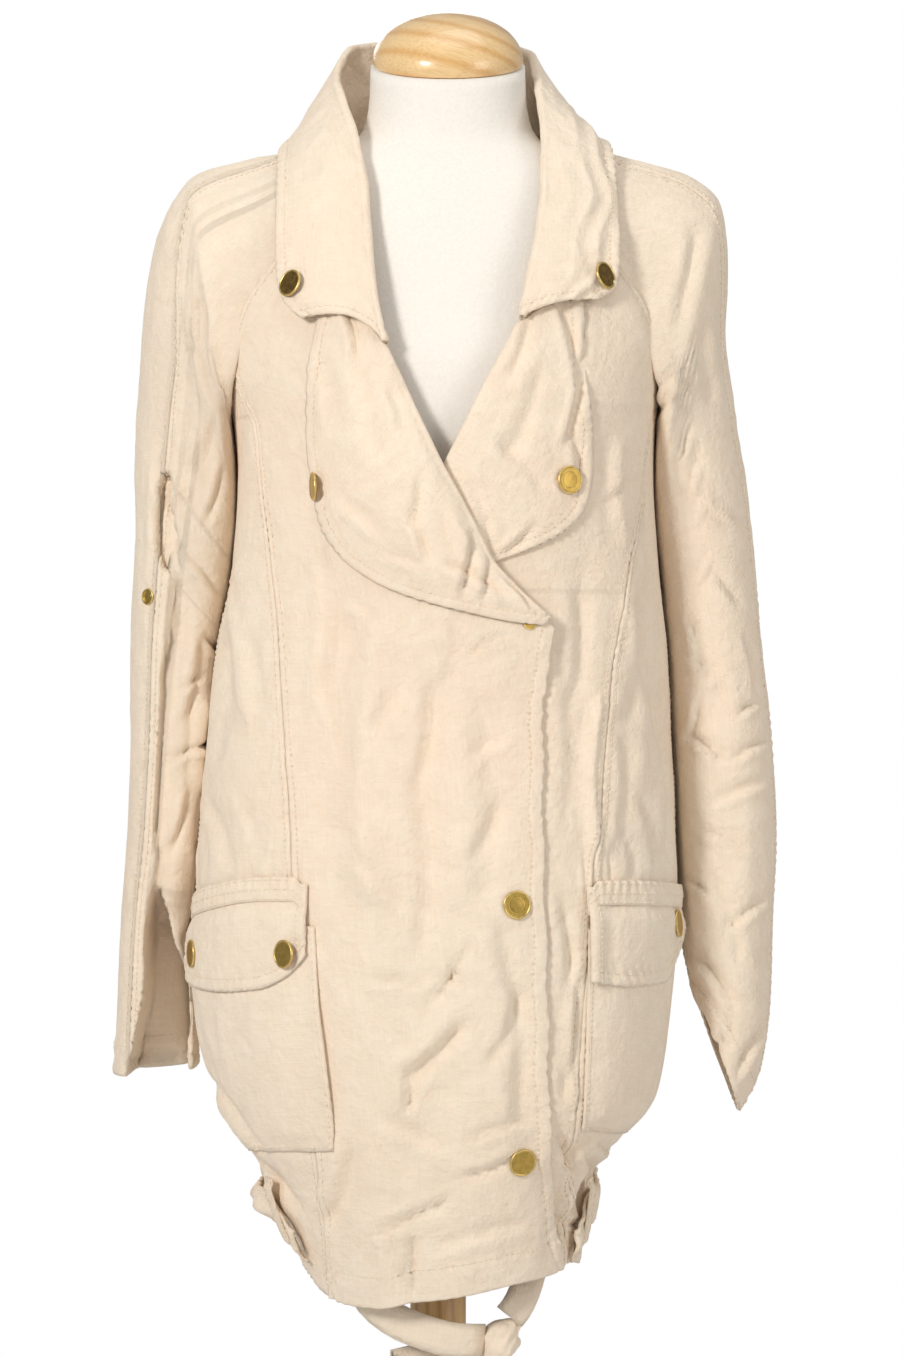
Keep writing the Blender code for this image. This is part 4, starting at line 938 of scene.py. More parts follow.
# Rings of the sleeves: x and z of the outer point, of the inner point, half depth, middle y.
SLEEVE_RIGHT = np.array([
    (120, 1405, 153.5, 1213, 69, 3),
    (184, 1386, 152.3, 1203, 66, 5),
    (204, 1354, 150.8, 1186, 64, 7),
    (213.5, 1318, 149.8, 1164, 62, 16),
    (220, 1270, 150.3, 1140, 60, 24),
    (224, 1210, 153.5, 1110, 57, 29),
    (226, 1130, 162.5, 1058, 54, 33),
    (229, 1065, 167, 1015, 52, 35),
    (228.5, 1000, 171.5, 968, 52, 36),
    (230.5, 920, 177.5, 905, 53, 36),
    (235, 862, 183, 854, 54, 36),
    (237.5, 805, 184, 802, 54, 34),
    (240.5, 742, 181, 747, 54, 32),
])
SLEEVE_LEFT = np.array([
    (120, 1405, 153.5, 1213, 69, 3),
    (176, 1389, 152.3, 1203, 66, 5),
    (198, 1370, 150.8, 1186, 64, 7),
    (203.5, 1330, 149.8, 1164, 62, 16),
    (202.5, 1285, 150.6, 1140, 60, 24),
    (209, 1225, 154, 1110, 57, 28),
    (221, 1145, 159, 1058, 55, 31),
    (229, 1060, 162, 1015, 54, 31),
    (237, 985, 165, 965, 54, 30),
    (240, 915, 168, 905, 53, 28),
    (237, 855, 169.5, 860, 52, 25),
    (235, 800, 174, 830, 49, 22),
    (228, 748, 180, 806, 45, 18),
    (212, 716, 186, 790, 41, 15),
])


# How far forward of a sleeve's outer edge the overarm seam lies, in degrees: ring, right, left.
OVERARM = np.array([(0, 24, 24), (1, 36, 30), (2, 64, 34), (3, 76, 38), (6, 70, 24), (9, 64, 14),
                    (12, 58, 10)])


def sleeve_grid(table, sign):
    """Rings of a sleeve from its raglan seam to its cuff, in the order of raglan_ring."""
    step = SLEEVE_SHARES[:-1]
    rings = [raglan_ring()]
    for k, (x_out, z_out, x_in, z_in, depth, middle) in enumerate(table):
        seam = math.radians(column(OVERARM, 1 if sign < 0 else 2, k))
        angle = np.concatenate([seam + (math.pi - seam) * step, math.pi + (math.pi + seam) * step])
        centre = np.array([(x_out + x_in) / 2, middle, (z_out + z_in) / 2])
        arm = np.array([x_out, middle, z_out]) - centre
        # the quarter of the sleeve in front of the underarm is squarer, as it rests by the body
        squarer = (angle > math.pi / 2) & (angle < math.pi)
        outward = np.where(squarer, -np.abs(np.cos(angle)) ** 0.58, np.cos(angle))
        forward = np.where(squarer, np.abs(np.sin(angle)) ** 0.75, np.sin(angle))
        ring = centre + outward[:, None] * arm
        ring[:, 1] -= depth * forward
        rings.append(ring)
    rings = np.array(rings)
    run = run_along(rings.mean(1))
    share = np.linspace(0, 1, SLEEVE_ROWS) ** 1.12 * run[-1]
    grid = np.stack([curve_at(run, rings[:, c], share) for c in range(rings.shape[1])], axis=1)
    grid[..., 0] *= sign
    return grid


# Fold down the front of the right sleeve: x of its edge by height, and of the vent's other side.
FOLD_EDGE = np.array([(740, -229), (751, -226.7), (767, -223), (813, -214.4), (844, -215),
                      (869, -210.8), (900, -207), (919, -208.7), (962, -206.5), (1011, -204),
                      (1030, -203.6), (1075, -195.6), (1110, -195)])
VENT_EDGE = np.array([(740, -184), (780, -184), (815, -186), (841, -194), (873, -202), (893, -208)])


def front_groove(grid):
    """The open vent at the right cuff, the fold up from it and the lens-shaped one above."""
    x, y, z = grid[..., 0], grid[..., 1], grid[..., 2]
    edge, far = column(FOLD_EDGE, 1, z), column(VENT_EDGE, 1, z)
    vent = 58 * ease(-1.0, 2.5, x - edge) * ease(-1.0, 3.0, far - x) * (1 - ease(850, 893, z))
    fold = 9 * ease(-0.8, 1.6, x - edge) * np.exp(-(np.maximum(x - edge, 0) / 19) ** 1.4)
    fold = fold * (1 - ease(1085, 1112, z)) * (0.55 + 0.45 * ease(860, 960, z))
    middle = -198.0 - 3.0 * np.sin((z - 1106) / 66 * math.pi)
    half = 8.6 * np.sqrt(np.clip(1 - ((z - 1139) / 36) ** 2, 0, 1)) + 0.01
    lens = 11 * ease(0, 0.5, 1 - np.abs((x - middle) / half)) * (half > 0.5)
    moved = grid.copy()
    moved[..., 1] = y + (y < 14) * np.maximum(np.maximum(vent, fold), lens)
    return moved


# Each lapel from the collar's notch down: x and z of its roll line, of its outer edge, and the
# puff between them.
LAPEL_RIGHT = np.array([
    (-38.5, 1253.5, -84, 1280, 0.6), (-30, 1236, -92, 1238, 2.5), (-21, 1216, -93, 1198, 6),
    (-11, 1195, -89, 1163, 9), (-1, 1173, -83, 1135, 10.5), (10, 1152, -69, 1112, 10.5),
    (21, 1130, -43, 1093, 9), (32.5, 1106.5, -12, 1081, 7), (46, 1092, 18, 1073, 4.5),
    (58, 1079.5, 43, 1067.5, 2), (68, 1070, 63, 1065, 0.4),
])
LAPEL_LEFT = np.array([
    (51, 1272, 94, 1292, 0.5), (42, 1256, 96.5, 1262, 1.2), (32, 1238, 97, 1232, 2),
    (22, 1219, 99.5, 1200, 2.2), (12, 1199, 99.7, 1172, 2.2), (2, 1179, 95, 1146, 2),
    (-7, 1161, 82, 1130, 1.6), (-16, 1144, 58, 1117, 1.2), (-24, 1129, 34, 1108, 0.6),
    (-30.5, 1116, 6, 1102, 0.3), (-34, 1108.5, -18, 1102, 0),
])

# The collar from each notch to the middle of the back: points of its roll line, of its outer
# edge and of its seam with the neck.
COLLAR_RIGHT = np.array([
    (-39, -127.5, 1258, -98, -111, 1276, -43, -124, 1260),
    (-43, -121.5, 1278, -110, -103, 1287, -49.5, -116, 1286),
    (-47, -113, 1300, -116, -94, 1305, -54.5, -105, 1312),
    (-51.5, -94, 1340, -117.5, -81, 1335, -61, -87, 1347),
    (-55.5, -76, 1379, -118, -58, 1372, -68, -69, 1381),
    (-62, -54, 1411, -118.5, -26, 1402, -72, -38, 1407),
    (-71.5, -26, 1441, -116, 8, 1412, -77, -10, 1420),
    (-76.5, 6, 1464, -112, 40, 1411, -76, 18, 1422),
    (-68, 42, 1491, -92, 78, 1404, -64, 44, 1419),
    (-42, 67, 1499, -54, 102, 1398, -40, 61, 1414),
    (0, 78, 1501, 0, 112, 1396, 0, 69, 1412),
])
COLLAR_LEFT = np.array([
    (51, -119.5, 1276, 106, -101, 1290, 52.5, -117, 1278),
    (57, -107, 1308, 118, -93, 1300, 58.5, -105, 1309),
    (63, -94, 1337, 121, -86, 1320, 65, -91.5, 1337),
    (66.5, -78, 1371, 121.5, -70, 1352, 69.5, -74, 1371),
    (67.5, -52, 1410, 120, -49, 1387, 71, -54, 1396),
    (66.5, -28, 1436, 116, -11, 1411, 76, -22, 1414),
    (65, 6, 1463, 108, 34, 1411, 74, 10, 1423),
    (62, 38, 1486, 90, 72, 1404, 64, 42, 1419),
    (42, 66, 1496, 54, 101, 1398, 40, 61, 1414),
    (0, 78, 1501, 0, 112, 1396, 0, 69, 1412),
])
COLLAR_ROLL = 3.2    # radius of its rolled edge
FALL_PUFF = 5.0

# Each pocket on its own side (x positive outwards there); shares run from the front edge round.
POUCH_EDGE_RIGHT = np.array([(-73, 700), (-74, 729), (-79, 775), (-84, 813), (-88, 870)])
POUCH_EDGE_LEFT = np.array([(92.5, 700), (94, 740), (96, 790), (97, 870)])
# Heights by share: the flap's lower edge, its top and the pouch's lower edge.
POCKET_RIGHT = np.array([(0, 840, 892, 706), (0.08, 826, 893, 704.5), (0.25, 815, 892, 703),
                         (0.6, 811, 884, 698), (0.88, 813, 876, 695), (1, 824, 872, 694)])
POCKET_LEFT = np.array([(0, 821, 890, 717), (0.08, 819, 890, 716.5), (0.3, 816, 889, 713),
                        (0.6, 816, 886, 709), (0.82, 832, 883, 707), (1, 850, 881, 706)])
POCKET_TURN = 1.50   # where each pocket ends at the side
POUCH_OUT = 4.4
FLAP_OUT = 6.3
BAND_DEEP = 17
BAND_OUT = 3.9


def pocket_turn(sign, share, height, edge_x):
    front = np.abs(turn_at(edge_x, height))
    return sign * (front + (POCKET_TURN - front) * share)


BELT_WIDE = 30
BELT_THICK = 1.8
BELT_MIDDLE = 656
BELT_END = 1.02      # turn where the belt's outer stretch ends, in front of each loop
LOOP_TURN = 1.17


def strap(path, flat, wide, curl, columns, rows):
    """A length of belt along a path; flat is the direction across it at the two ends."""
    path = np.asarray(path, float)
    run = run_along(path)
    at = np.linspace(0, run[-1], rows)
    line = curve_at(run, path, at)
    along = np.gradient(line, axis=0)
    along /= np.linalg.norm(along, axis=1, keepdims=True)
    share = (at / run[-1])[:, None]
    across = np.asarray(flat[0], float) * (1 - share) + np.asarray(flat[1], float) * share
    across = across - along * (across * along).sum(1, keepdims=True)
    across /= np.linalg.norm(across, axis=1, keepdims=True)
    normal = np.cross(across, along)
    curl = curl * (0.25 + 0.75 * ease(0, 0.2, share))
    grid = []
    for k in np.linspace(-1, 1, columns):
        bend = curl * (k * k - 0.4) + 0.35 * curl * np.sin(9 * share + 2.2 * k)
        grid.append(line + across * k * wide / 2 + normal * bend)
    return np.stack(grid, axis=1)


SLIT_RIGHT = body_point(-1.08, 650, -6.4)
SLIT_LEFT = body_point(1.08, 652, -3.4)
SLOPE_RIGHT = body_point(-1.08, 662) - body_point(-1.08, 638)
SLOPE_LEFT = body_point(1.08, 664) - body_point(1.08, 640)
BELT_STRAPS = {
    "belt_drop_right": strap([SLIT_RIGHT, (-87, -61, 650), (-72, -72, 622), (-46, -86, 590),
                              (-17, -90, 576), (8, -87, 569), (27, -80, 567)],
                             [SLOPE_RIGHT, (6, 0, 24)], 24, 1.5, 5, 18),
    "belt_drop_left": strap([SLIT_LEFT, (77, -62, 652), (63, -72, 622), (51, -80, 592),
                             (45, -80, 584)],
                            [SLOPE_LEFT, (24, 0, 8)], 22, 1.5, 5, 14),
    "belt_tail_right": strap([(29.5, -71, 555.5), (4, -61, 544), (-24, -60, 549), (-42, -63, 541),
                              (-49, -66, 505), (-46, -66, 452)],
                             [(0.3, 0, 1), (1, 0.2, 0)], 23, 2.2, 4, 16),
    "belt_tail_left": strap([(44.6, -77, 552.9), (47, -76, 525), (44, -73, 480), (50, -70, 440)],
                            [(1, 0, 0), (1, 0.3, 0)], 23, 2.2, 4, 10),
}

# ---------------------------------------------------------------- wrinkles of the body

def body_wrinkle(turn, height):
    """Push of the creases and crinkles at a place on the body, the same for all that lies on it."""
    turn, height = np.broadcast_arrays(np.asarray(turn, float), np.asarray(height, float))
    x = body_point(turn, height)[..., 0]
    facing = np.cos(turn)
    front = crinkle(165 * turn, height, 3)
    back = crinkle(1.05 * x, height, 23)
    share = ease(-0.25, 0.1, facing)
    push = front * share + back * (1 - share)
    push = push + ease(0.0, 0.25, facing) * crease_push(x, height, BODY_CREASES)
    push = push + (1 - ease(-0.3, 0.0, facing)) * crease_push(x, height, BACK_CREASES)
    # small gathers where the belt draws the cloth in, and above the pockets' bands
    drawn = np.exp(-(((height - 664) / 34) ** 2)) * ease(0.75, 1.3, np.abs(turn))
    push = push + 1.3 * drawn * np.sin(165 * turn / 2.4 + 1.6 * np.sin(height / 17 + 3 * turn))
    above = ease(878, 892, height) * (1 - ease(894, 922, height)) * ease(0.5, 0.62, np.abs(turn))
    above = above * (1 - ease(1.4, 1.6, np.abs(turn)))
    push = push + 0.9 * above * np.sin(165 * turn / 1.35 + 2 * np.sin(turn * 9))
    raglan = np.where(facing > 0, line_x(RAGLAN_FRONT, height), line_x(RAGLAN_BACK, height))
    calm = 1 - ease(1196, RAGLAN_LOW, height) * (1 - ease(1, 12, raglan - np.abs(x)))
    hem = ease(0, 26, height - np.where(facing > 0, hem_at(x), HEM_BACK))
    underarm = ease(1110, 1150, height) * ease(1.15, 1.4, np.abs(turn))
    underarm = underarm * (1 - ease(1.8, 2.1, np.abs(turn)))
    return push * calm * (0.55 + 0.45 * hem) * (1 - 0.75 * underarm)


# ---------------------------------------------------------------- body panels

def top_out(turn, height):
    return top_front_out(turn, height) + body_wrinkle(turn, height)


HEM_ROWS = [606, 607.2, 608.6, 612]
FRONT_RIGHT = front_panel(spaced(HEM_ROWS + [OVERLAP_TOP, NOTCH_RIGHT, 1367]), right_front_outer,
                          right_front_inner, toward_edges(165), top_out, SEAM_TURN, 0)
FRONT_LEFT = front_panel(spaced(HEM_ROWS + [HIDDEN_TOP, NOTCH_LEFT, 1365]), left_front_inner,
                         left_front_outer, toward_edges(140), body_wrinkle, 0, SEAM_TURN)
TOP_FRONT = cloth_piece("front_right", FRONT_RIGHT, {
    "left": PANEL_SEAM, "right": ("hem", 9.5, 1.0), "low": PANEL_HEM}, 1, wrinkle=0)
cloth_piece("front_left", FRONT_LEFT, {"right": PANEL_SEAM, "low": PANEL_HEM}, 2, wrinkle=0)


def side_panel(sign, rows=200):
    """The side front, from the side seam round to the princess seam."""
    princess = PRINCESS_RIGHT if sign < 0 else PRINCESS_LEFT
    share = toward_edges(90)[None]
    rise = np.linspace(0, 1, rows)[:, None]
    low = HEM_BACK + (hem_at(line_x(princess, 620)) - HEM_BACK) * ease(0.2, 1, share)
    height = low + rise * (princess[-1, 1] - low)
    inner = np.abs(turn_at(line_x(princess, height), height)) + SEAM_TURN
    raglan = np.abs(turn_at(sign * (line_x(RAGLAN_FRONT, height) - SEAM), height))
    outer = np.where(height < RAGLAN_LOW, math.pi / 2 - SEAM_TURN, np.maximum(raglan, inner))
    turn = sign * (outer + (inner - outer) * share)
    grid = body_point(turn, height, body_wrinkle(turn, height))
    return grid if sign < 0 else grid[:, ::-1]


for side, sign, seed in (("right", -1, 3), ("left", 1, 4)):
    cloth_piece("side_front_" + side, side_panel(sign),
                {"left": PANEL_SEAM, "right": PANEL_SEAM, "low": PANEL_HEM}, seed, wrinkle=0)


def back_panel():
    """The back between the side seams, and above them between the raglan seams."""
    heights = spaced([HEM_BACK, 1209, 1400], 3.8)[:, None]
    share = 2 * toward_edges(370, 4.2)[None] - 1
    half = line_x(RAGLAN_BACK, heights) - 3 * SEAM
    side = math.pi - np.arcsin(np.clip(half / body_size("left", heights), 0, 1))
    start = np.where(heights <= 1210, math.pi / 2 + SEAM_TURN, side)
    turn = math.pi + share * (math.pi - start)
    turn = np.where(turn > math.pi, turn - 2 * math.pi, turn)
    neck = 6 * ease(1345, 1400, heights) * (share ** 2)
    return body_point(turn, heights + neck, body_wrinkle(turn, heights))


cloth_piece("back", back_panel(), {"left": PANEL_SEAM, "right": PANEL_SEAM, "low": PANEL_HEM}, 5,
            wrinkle=0)

# ---------------------------------------------------------------- sleeves

SLEEVE_OUT = {}


def sleeve_halves(side, table, sign, creases):
    """The front and the back half of a sleeve, each up to the seams between them."""
    half_count = len(SLEEVE_SHARES) - 1
    grid = sleeve_grid(table, sign)
    if sign < 0:
        grid = front_groove(grid)
    front = grid[:, :half_count + 1]
    back = np.concatenate([grid[:, half_count:], grid[:, :1]], axis=1)
    for k, (name, part, crease_lines) in enumerate((("sleeve_front_" + side, front, creases),
                                             ("sleeve_back_" + side, back, SLEEVE_BACK_CREASES))):
        part = part.copy()
        for edge, inner in ((0, 1), (-1, -2)):
            step = part[:, inner] - part[:, edge]
            part[:, edge] += step * SEAM / np.linalg.norm(step, axis=-1, keepdims=True)
        part = part[::-1, ::-1] if sign > 0 else part[::-1]
        across = np.abs(part[..., 0]) if k else part[..., 0]
        push = crease_push(across, part[..., 2], crease_lines, SLEEVE_CREASE_WIDTH)
        ends = ease(0, 14, np.minimum(*(edge_places(part)[s][0] for s in ("left", "right"))))
        SLEEVE_OUT[name] = cloth_piece(
            name, part, {"left": PANEL_SEAM, "right": ("seam", 4.3, 0.8), "low": ("hem", 22, 0.9),
                         "top": PANEL_SEAM}, 6 + 2 * k + (sign > 0), push=push * ends)


sleeve_halves("right", SLEEVE_RIGHT, -1, SLEEVE_RIGHT_CREASES)
sleeve_halves("left", SLEEVE_LEFT, 1, SLEEVE_LEFT_CREASES)

# ---------------------------------------------------------------- lapels and collar

# Distance past the roll line and height of a rolled edge, in roll radii.
ROLL_STEPS = [(1 - np.sin(angle), -np.cos(angle)) for angle in np.linspace(0, math.pi, 13)]


def lapel(table, base_out, top_bow, across=34, rows=86):
    """A facing: a short run inside the front, round its edge, and turned back over it."""
    at = np.linspace(0, len(table) - 1, rows)
    places = np.arange(len(table))
    roll_x, roll_z, edge_x, edge_z, puff = (soft(places, table[:, k], at) for k in range(5))
    grid = []
    for i in range(rows):
        run = np.array([edge_x[i] - roll_x[i], edge_z[i] - roll_z[i]])
        length = np.hypot(*run)
        run = run / length
        inside = min(10, 0.8 * length)
        line = [(s, -ROLL) for s in np.linspace(inside, min(ROLL, 0.5 * length), 4)[:-1]]
        line += [(min(past * ROLL, 0.5 * length), lift * ROLL) for past, lift in ROLL_STEPS]
        start = line[-1][0]
        for b in np.linspace(0, 1, across + 1)[1:]:
            rise = puff[i] * math.sin(math.pi * b ** 0.8) ** 0.8 if b < 1 else 0
            line.append((start + (length - start) * b, ROLL + rise))
        s, o = np.array(line).T
        bow = top_bow * np.sin(math.pi * np.minimum(1, s / length)) * (1 - ease(0, 3.5, at[i]))
        x, z = roll_x[i] + run[0] * s, roll_z[i] + run[1] * s + bow
        turn = turn_at(x, z)
        grid.append(body_point(turn, z, base_out(turn, z) + o))
    return np.array(grid)


LAPEL_GRIDS = {"right": lapel(LAPEL_RIGHT, top_out, 15)[::-1, ::-1],
               "left": lapel(LAPEL_LEFT, body_wrinkle, 5)[::-1]}
LAPEL_CREASES = {
    "right": np.array([
        (-17, 1161, -22, 1135, 4, 1.5), (-22, 1135, -11, 1108, 4, 1.7),
        (-68, 1288, -59, 1248, 5, 2.0), (18, 1124, 12, 1086, 4, 1.8),
        (2, 1106, 41, 1086, 5, 1.5), (-60, 1240, -46, 1180, 8, 1.2),
        (-84, 1246, -76, 1200, 6, 1.2), (-38, 1226, -28, 1196, 5, 1.1),
        (30, 1106, 26, 1082, 3, 1.4), (-70, 1150, -44, 1128, 5, 1.2),
        (-40, 1112, -18, 1106, 4, 1.1), (4, 1140, 16, 1116, 5, -1.4),
        (-52, 1160, -30, 1172, 6, 0.9), (44, 1094, 58, 1078, 3, 1.2),
    ]),
    "left": np.array([
        (93, 1246, 83, 1190, 4, 2.2), (80, 1286, 91, 1230, 5, 1.6), (96, 1270, 92, 1222, 3, 1.6),
        (66, 1240, 44, 1180, 9, 1.0), (36, 1190, 66, 1160, 6, 1.0), (58, 1276, 46, 1236, 6, 1.2),
        (88, 1196, 92, 1160, 4, 1.6), (60, 1132, 40, 1112, 4, 1.2), (20, 1156, 30, 1120, 5, 1.0),
    ]),
}
LAPEL_OUT = {}
for side, outer_side, seed in (("right", "left", 12), ("left", "right", 14)):
    grid = LAPEL_GRIDS[side]
    away = edge_places(grid)[side][0]
    bias = 0.5 * ease(14, 24, away)
    bias = bias + crease_push(grid[..., 0], grid[..., 2], LAPEL_CREASES[side]) * ease(9, 18, away)
    LAPEL_OUT[side] = cloth_piece(
        "lapel_" + side, grid, {outer_side: ("hem", 8.8, 1.2)}, seed, push=bias,
        wrinkle=0.85 * ease(12, 26, away))


def collar(rows_each=110, fall=38):
    """Stand, roll and turned-down fall of the collar, from its right notch round to its left."""
    table = np.concatenate([COLLAR_RIGHT, COLLAR_LEFT[::-1][1:]])
    run = run_along(table[:, :3])
    at = np.linspace(0, run[-1], 2 * rows_each - 1)
    roll, edge, seam = (curve_at(run, table[:, k:k + 3], at) for k in (0, 3, 6))
    along = np.gradient(roll, axis=0)
    along /= np.linalg.norm(along, axis=1, keepdims=True)
    down = edge - roll
    down -= along * (down * along).sum(1, keepdims=True)
    down /= np.linalg.norm(down, axis=1, keepdims=True)
    out = np.cross(along, down)
    middle = roll + down * COLLAR_ROLL
    from_right = at / run[-1]
    end = np.maximum(1 - ease(0, 0.09, from_right), 1 - ease(0, 0.09, 1 - from_right))
    bow = np.where(from_right < 0.5, 11, 3) * end
    inner = middle - out * COLLAR_ROLL
    lines = [seam + (inner - seam) * share for share in np.linspace(0, 1, 11)]
    for angle in np.linspace(0, 180, 11)[1:]:
        a = math.radians(angle)
        lines.append(middle - out * COLLAR_ROLL * math.cos(a) - down * COLLAR_ROLL * math.sin(a))
    start = lines[-1]
    toward = np.where(from_right < 0.5, 1, -1)[:, None]
    for share in np.linspace(0, 1, fall + 1)[1:]:
        lift = FALL_PUFF * math.sin(math.pi * share)
        point = start + (edge - start) * share + out * lift
        lines.append(point + along * toward * (bow * math.sin(math.pi * share ** 0.62))[:, None])
    return np.stack(lines, axis=1)[:, ::-1]


COLLAR = collar()
(to_edge, round_neck), (from_seam, _) = (edge_places(COLLAR)[side] for side in ("left", "right"))
# heavy folds along the outer edge of its left half, ripples along the roll
left_half = ease(0.5, 0.62, np.linspace(0, 1, len(COLLAR)))[:, None]
heavy = np.exp(-(((to_edge - 13) / 22) ** 2)) * left_half
heavy = heavy * (0.5 - np.abs(np.sin(to_edge / 5.2 + 1.2 * np.sin(round_neck / 31)
                                   + 0.6 * np.sin(round_neck / 11))))
from_roll = np.abs(from_seam - 44)
ripples = np.exp(-((from_roll / 17) ** 2)) * (0.4 - np.abs(np.sin(round_neck / 13 + from_roll / 9)))
near_seam = ease(0, 16, from_seam)
COLLAR_OUT = cloth_piece("collar", COLLAR, {"left": ("hem", 7.5, 1.3), "low": ("hem", 7.5, 0.8),
                                            "top": ("hem", 7.5, 0.8)}, 16,
                         push=(2.6 * heavy + 1.3 * ripples) * near_seam,
                         wrinkle=1.15 * near_seam)

# ---------------------------------------------------------------- pockets

def pocket_cloth(sign, turn, height, out):
    """Cloth that stands off the panel under a pocket, its columns from left to right."""
    under = top_front_out(turn, height) if sign < 0 else 0 * turn
    return body_point(turn, height, out + (under + body_wrinkle(turn, height)))[:, ::sign]


def gathers(share):
    """Height of the small folds along a pocket's top, by the share from its front edge."""
    return -np.abs(np.sin(math.pi * 19 * share + 2.2 * np.sin(9 * share)))


def pouch_grid(sign, table, edge, columns=46, rows=50):
    share = np.concatenate([np.linspace(0, 0.09, 7)[:-1], np.linspace(0.09, 1, columns - 6)])
    rise = np.concatenate([np.linspace(0, 0.09, 6)[:-1], np.linspace(0.09, 1, rows - 5)])
    share, rise = np.meshgrid(share, rise)
    low, high = column(table, 3, share), column(table, 2, share) - 33
    height = low + (high - low) * rise
    turn = pocket_turn(sign, share, height, line_x(edge, height))
    rim = ease(-0.02, 0.17, share) * ease(0, 0.1, 1 - share) * ease(0, 0.09, rise)
    top = ease(0.8, 1, rise)
    out = 1.5 + (POUCH_OUT - 1.5) * rim - 1.0 * top * rim
    # the front edge of the right pouch stands open a little, like a bellows
    open_edge = ease(0.08, 0.3, rise) * (1 - ease(0.55, 0.85, rise)) * (sign < 0)
    out = out + 2.6 * np.exp(-((share / 0.05) ** 2)) * open_edge
    return pocket_cloth(sign, turn, height, out)


def flap_grid(sign, table, edge_x, columns=60, rows=26):
    share, rise = np.meshgrid(np.linspace(0, 1, columns) ** 0.9, np.linspace(0, 1, rows))
    low, top = column(table, 1, share), column(table, 2, share) - 4
    height = low + (top - low) * rise
    turn = pocket_turn(sign, share, height, edge_x)
    out = 2.0 + (FLAP_OUT - 2.0) * ease(11, 24, top - height)
    out = out - 1.5 * (1 - ease(0, 0.14, share)) * ease(11, 24, top - height)
    ripple = (0.35 + gathers(share)) * np.exp(-(((top - height - 17) / 11) ** 2))
    out = out + (0.35 + 0.65 * share) * ripple
    if sign > 0:
        # the front end of this flap is folded forward
        out = out + 3.0 * np.exp(-(((share - 0.03) / 0.045) ** 2)) * ease(2, 20, top - height)
        out = out - 1.2 * np.exp(-(((share - 0.13) / 0.04) ** 2)) * ease(6, 24, top - height)
    return pocket_cloth(sign, turn, height, out)


def band_grid(sign, table, edge_x, columns=110, rows=9):
    share, rise = np.meshgrid(np.linspace(0, 1, columns), np.linspace(0, 1, rows))
    top = column(table, 2, share) - 7 * (1 - ease(0, 0.07, share))
    height = top - BAND_DEEP * (1 - rise)
    turn = pocket_turn(sign, share, height, edge_x)
    ripple = 1.1 * (0.5 + gathers(share)) * (0.4 + 0.6 * share)
    out = BAND_OUT + ripple * (1.1 - 0.4 * np.abs(2 * rise - 1))
    out = out - 0.9 * ease(0.55, 1, rise) - 0.3 * (1 - ease(0, 0.35, rise))
    return pocket_cloth(sign, turn, height, out)


FLAPS = {}
for side, sign, table, edge, flap_x in (
        ("right", -1, POCKET_RIGHT, POUCH_EDGE_RIGHT, -92.0),
        ("left", 1, POCKET_LEFT, POUCH_EDGE_LEFT, 95.5)):
    far_side = "left" if sign < 0 else "right"
    edges = {name: ("hem", 3.2, 0.8) for name in (side, far_side, "low")}
    cloth_piece("pouch_" + side, pouch_grid(sign, table, edge), edges, 20 + sign, wrinkle=0.45,
                push=0.2)
    edges = {side: ("hem", 8.0, 1.0), far_side: ("hem", 8.0, 0.8), "low": ("hem", 8.6, 1.1)}
    FLAPS[side] = cloth_piece("flap_" + side, flap_grid(sign, table, flap_x), edges, 24 + sign,
                              wrinkle=0.55, push=0.4)
    out, face, places = cloth_piece("gathered_band_" + side, band_grid(sign, table, flap_x), {},
                                    28 + sign, wrinkle=0.2)
    for rise_at in (2.0, 8.5, 15.0):
        sew_beside(out, face, places["low"][0], "low", rise_at)

# ---------------------------------------------------------------- tie belt

def belt_back(columns=150, rows=14):
    """The stretch of belt outside the back, from in front of one loop to the other."""
    share, rise = np.meshgrid(np.linspace(0, 1, columns), np.linspace(-1, 1, rows))
    turn = BELT_END + share * 2 * (math.pi - BELT_END)
    side = ease(0.75, 1, np.abs(2 * share - 1))
    drop = 24 * ease(0.85, 1, np.abs(2 * share - 1)) ** 2
    height = BELT_MIDDLE - drop + rise * BELT_WIDE / 2 * (1 - 0.25 * side)
    out = 4.4 + 0.9 * side * np.cos(5 * rise + 40 * share) + 0.7 * np.sin(31 * share + 2 * rise)
    around = np.abs(turn - math.pi)
    bulge = 5.0 * np.exp(-(((around - 2.09) / 0.06) ** 2))
    crumple = (2.5 + 7.5 * (share > 0.5)) * np.exp(-(((around - 1.76) / 0.13) ** 2))
    crumple = crumple * (1 + 0.3 * np.sin(70 * share + 4 * rise)
                         + 0.2 * np.sin(6 * rise - 30 * share))
    out = out + (bulge + crumple) * (1 - 0.75 * rise * rise)
    turn = np.where(turn > math.pi, turn - 2 * math.pi, turn)
    return body_point(turn, height, out + 0.6 * body_wrinkle(turn, height))


def belt_loop(sign, rows_each=7):
    """A narrow strip over the belt, held to the body above and below it."""
    outs = np.array([(-29, 3.2), (-25, 3.6), (-20, 7.6), (0, 8.8), (18, 7.8), (22, 4.0), (25, 3.4)])
    rises = spaced(outs[:, 0], 1.5)
    turn = sign * LOOP_TURN + np.linspace(-0.045, 0.045, rows_each)[None]
    height = BELT_MIDDLE - 3 + rises[:, None] + 0 * turn
    return body_point(turn + 0 * height, height, column(outs, 1, rises)[:, None])


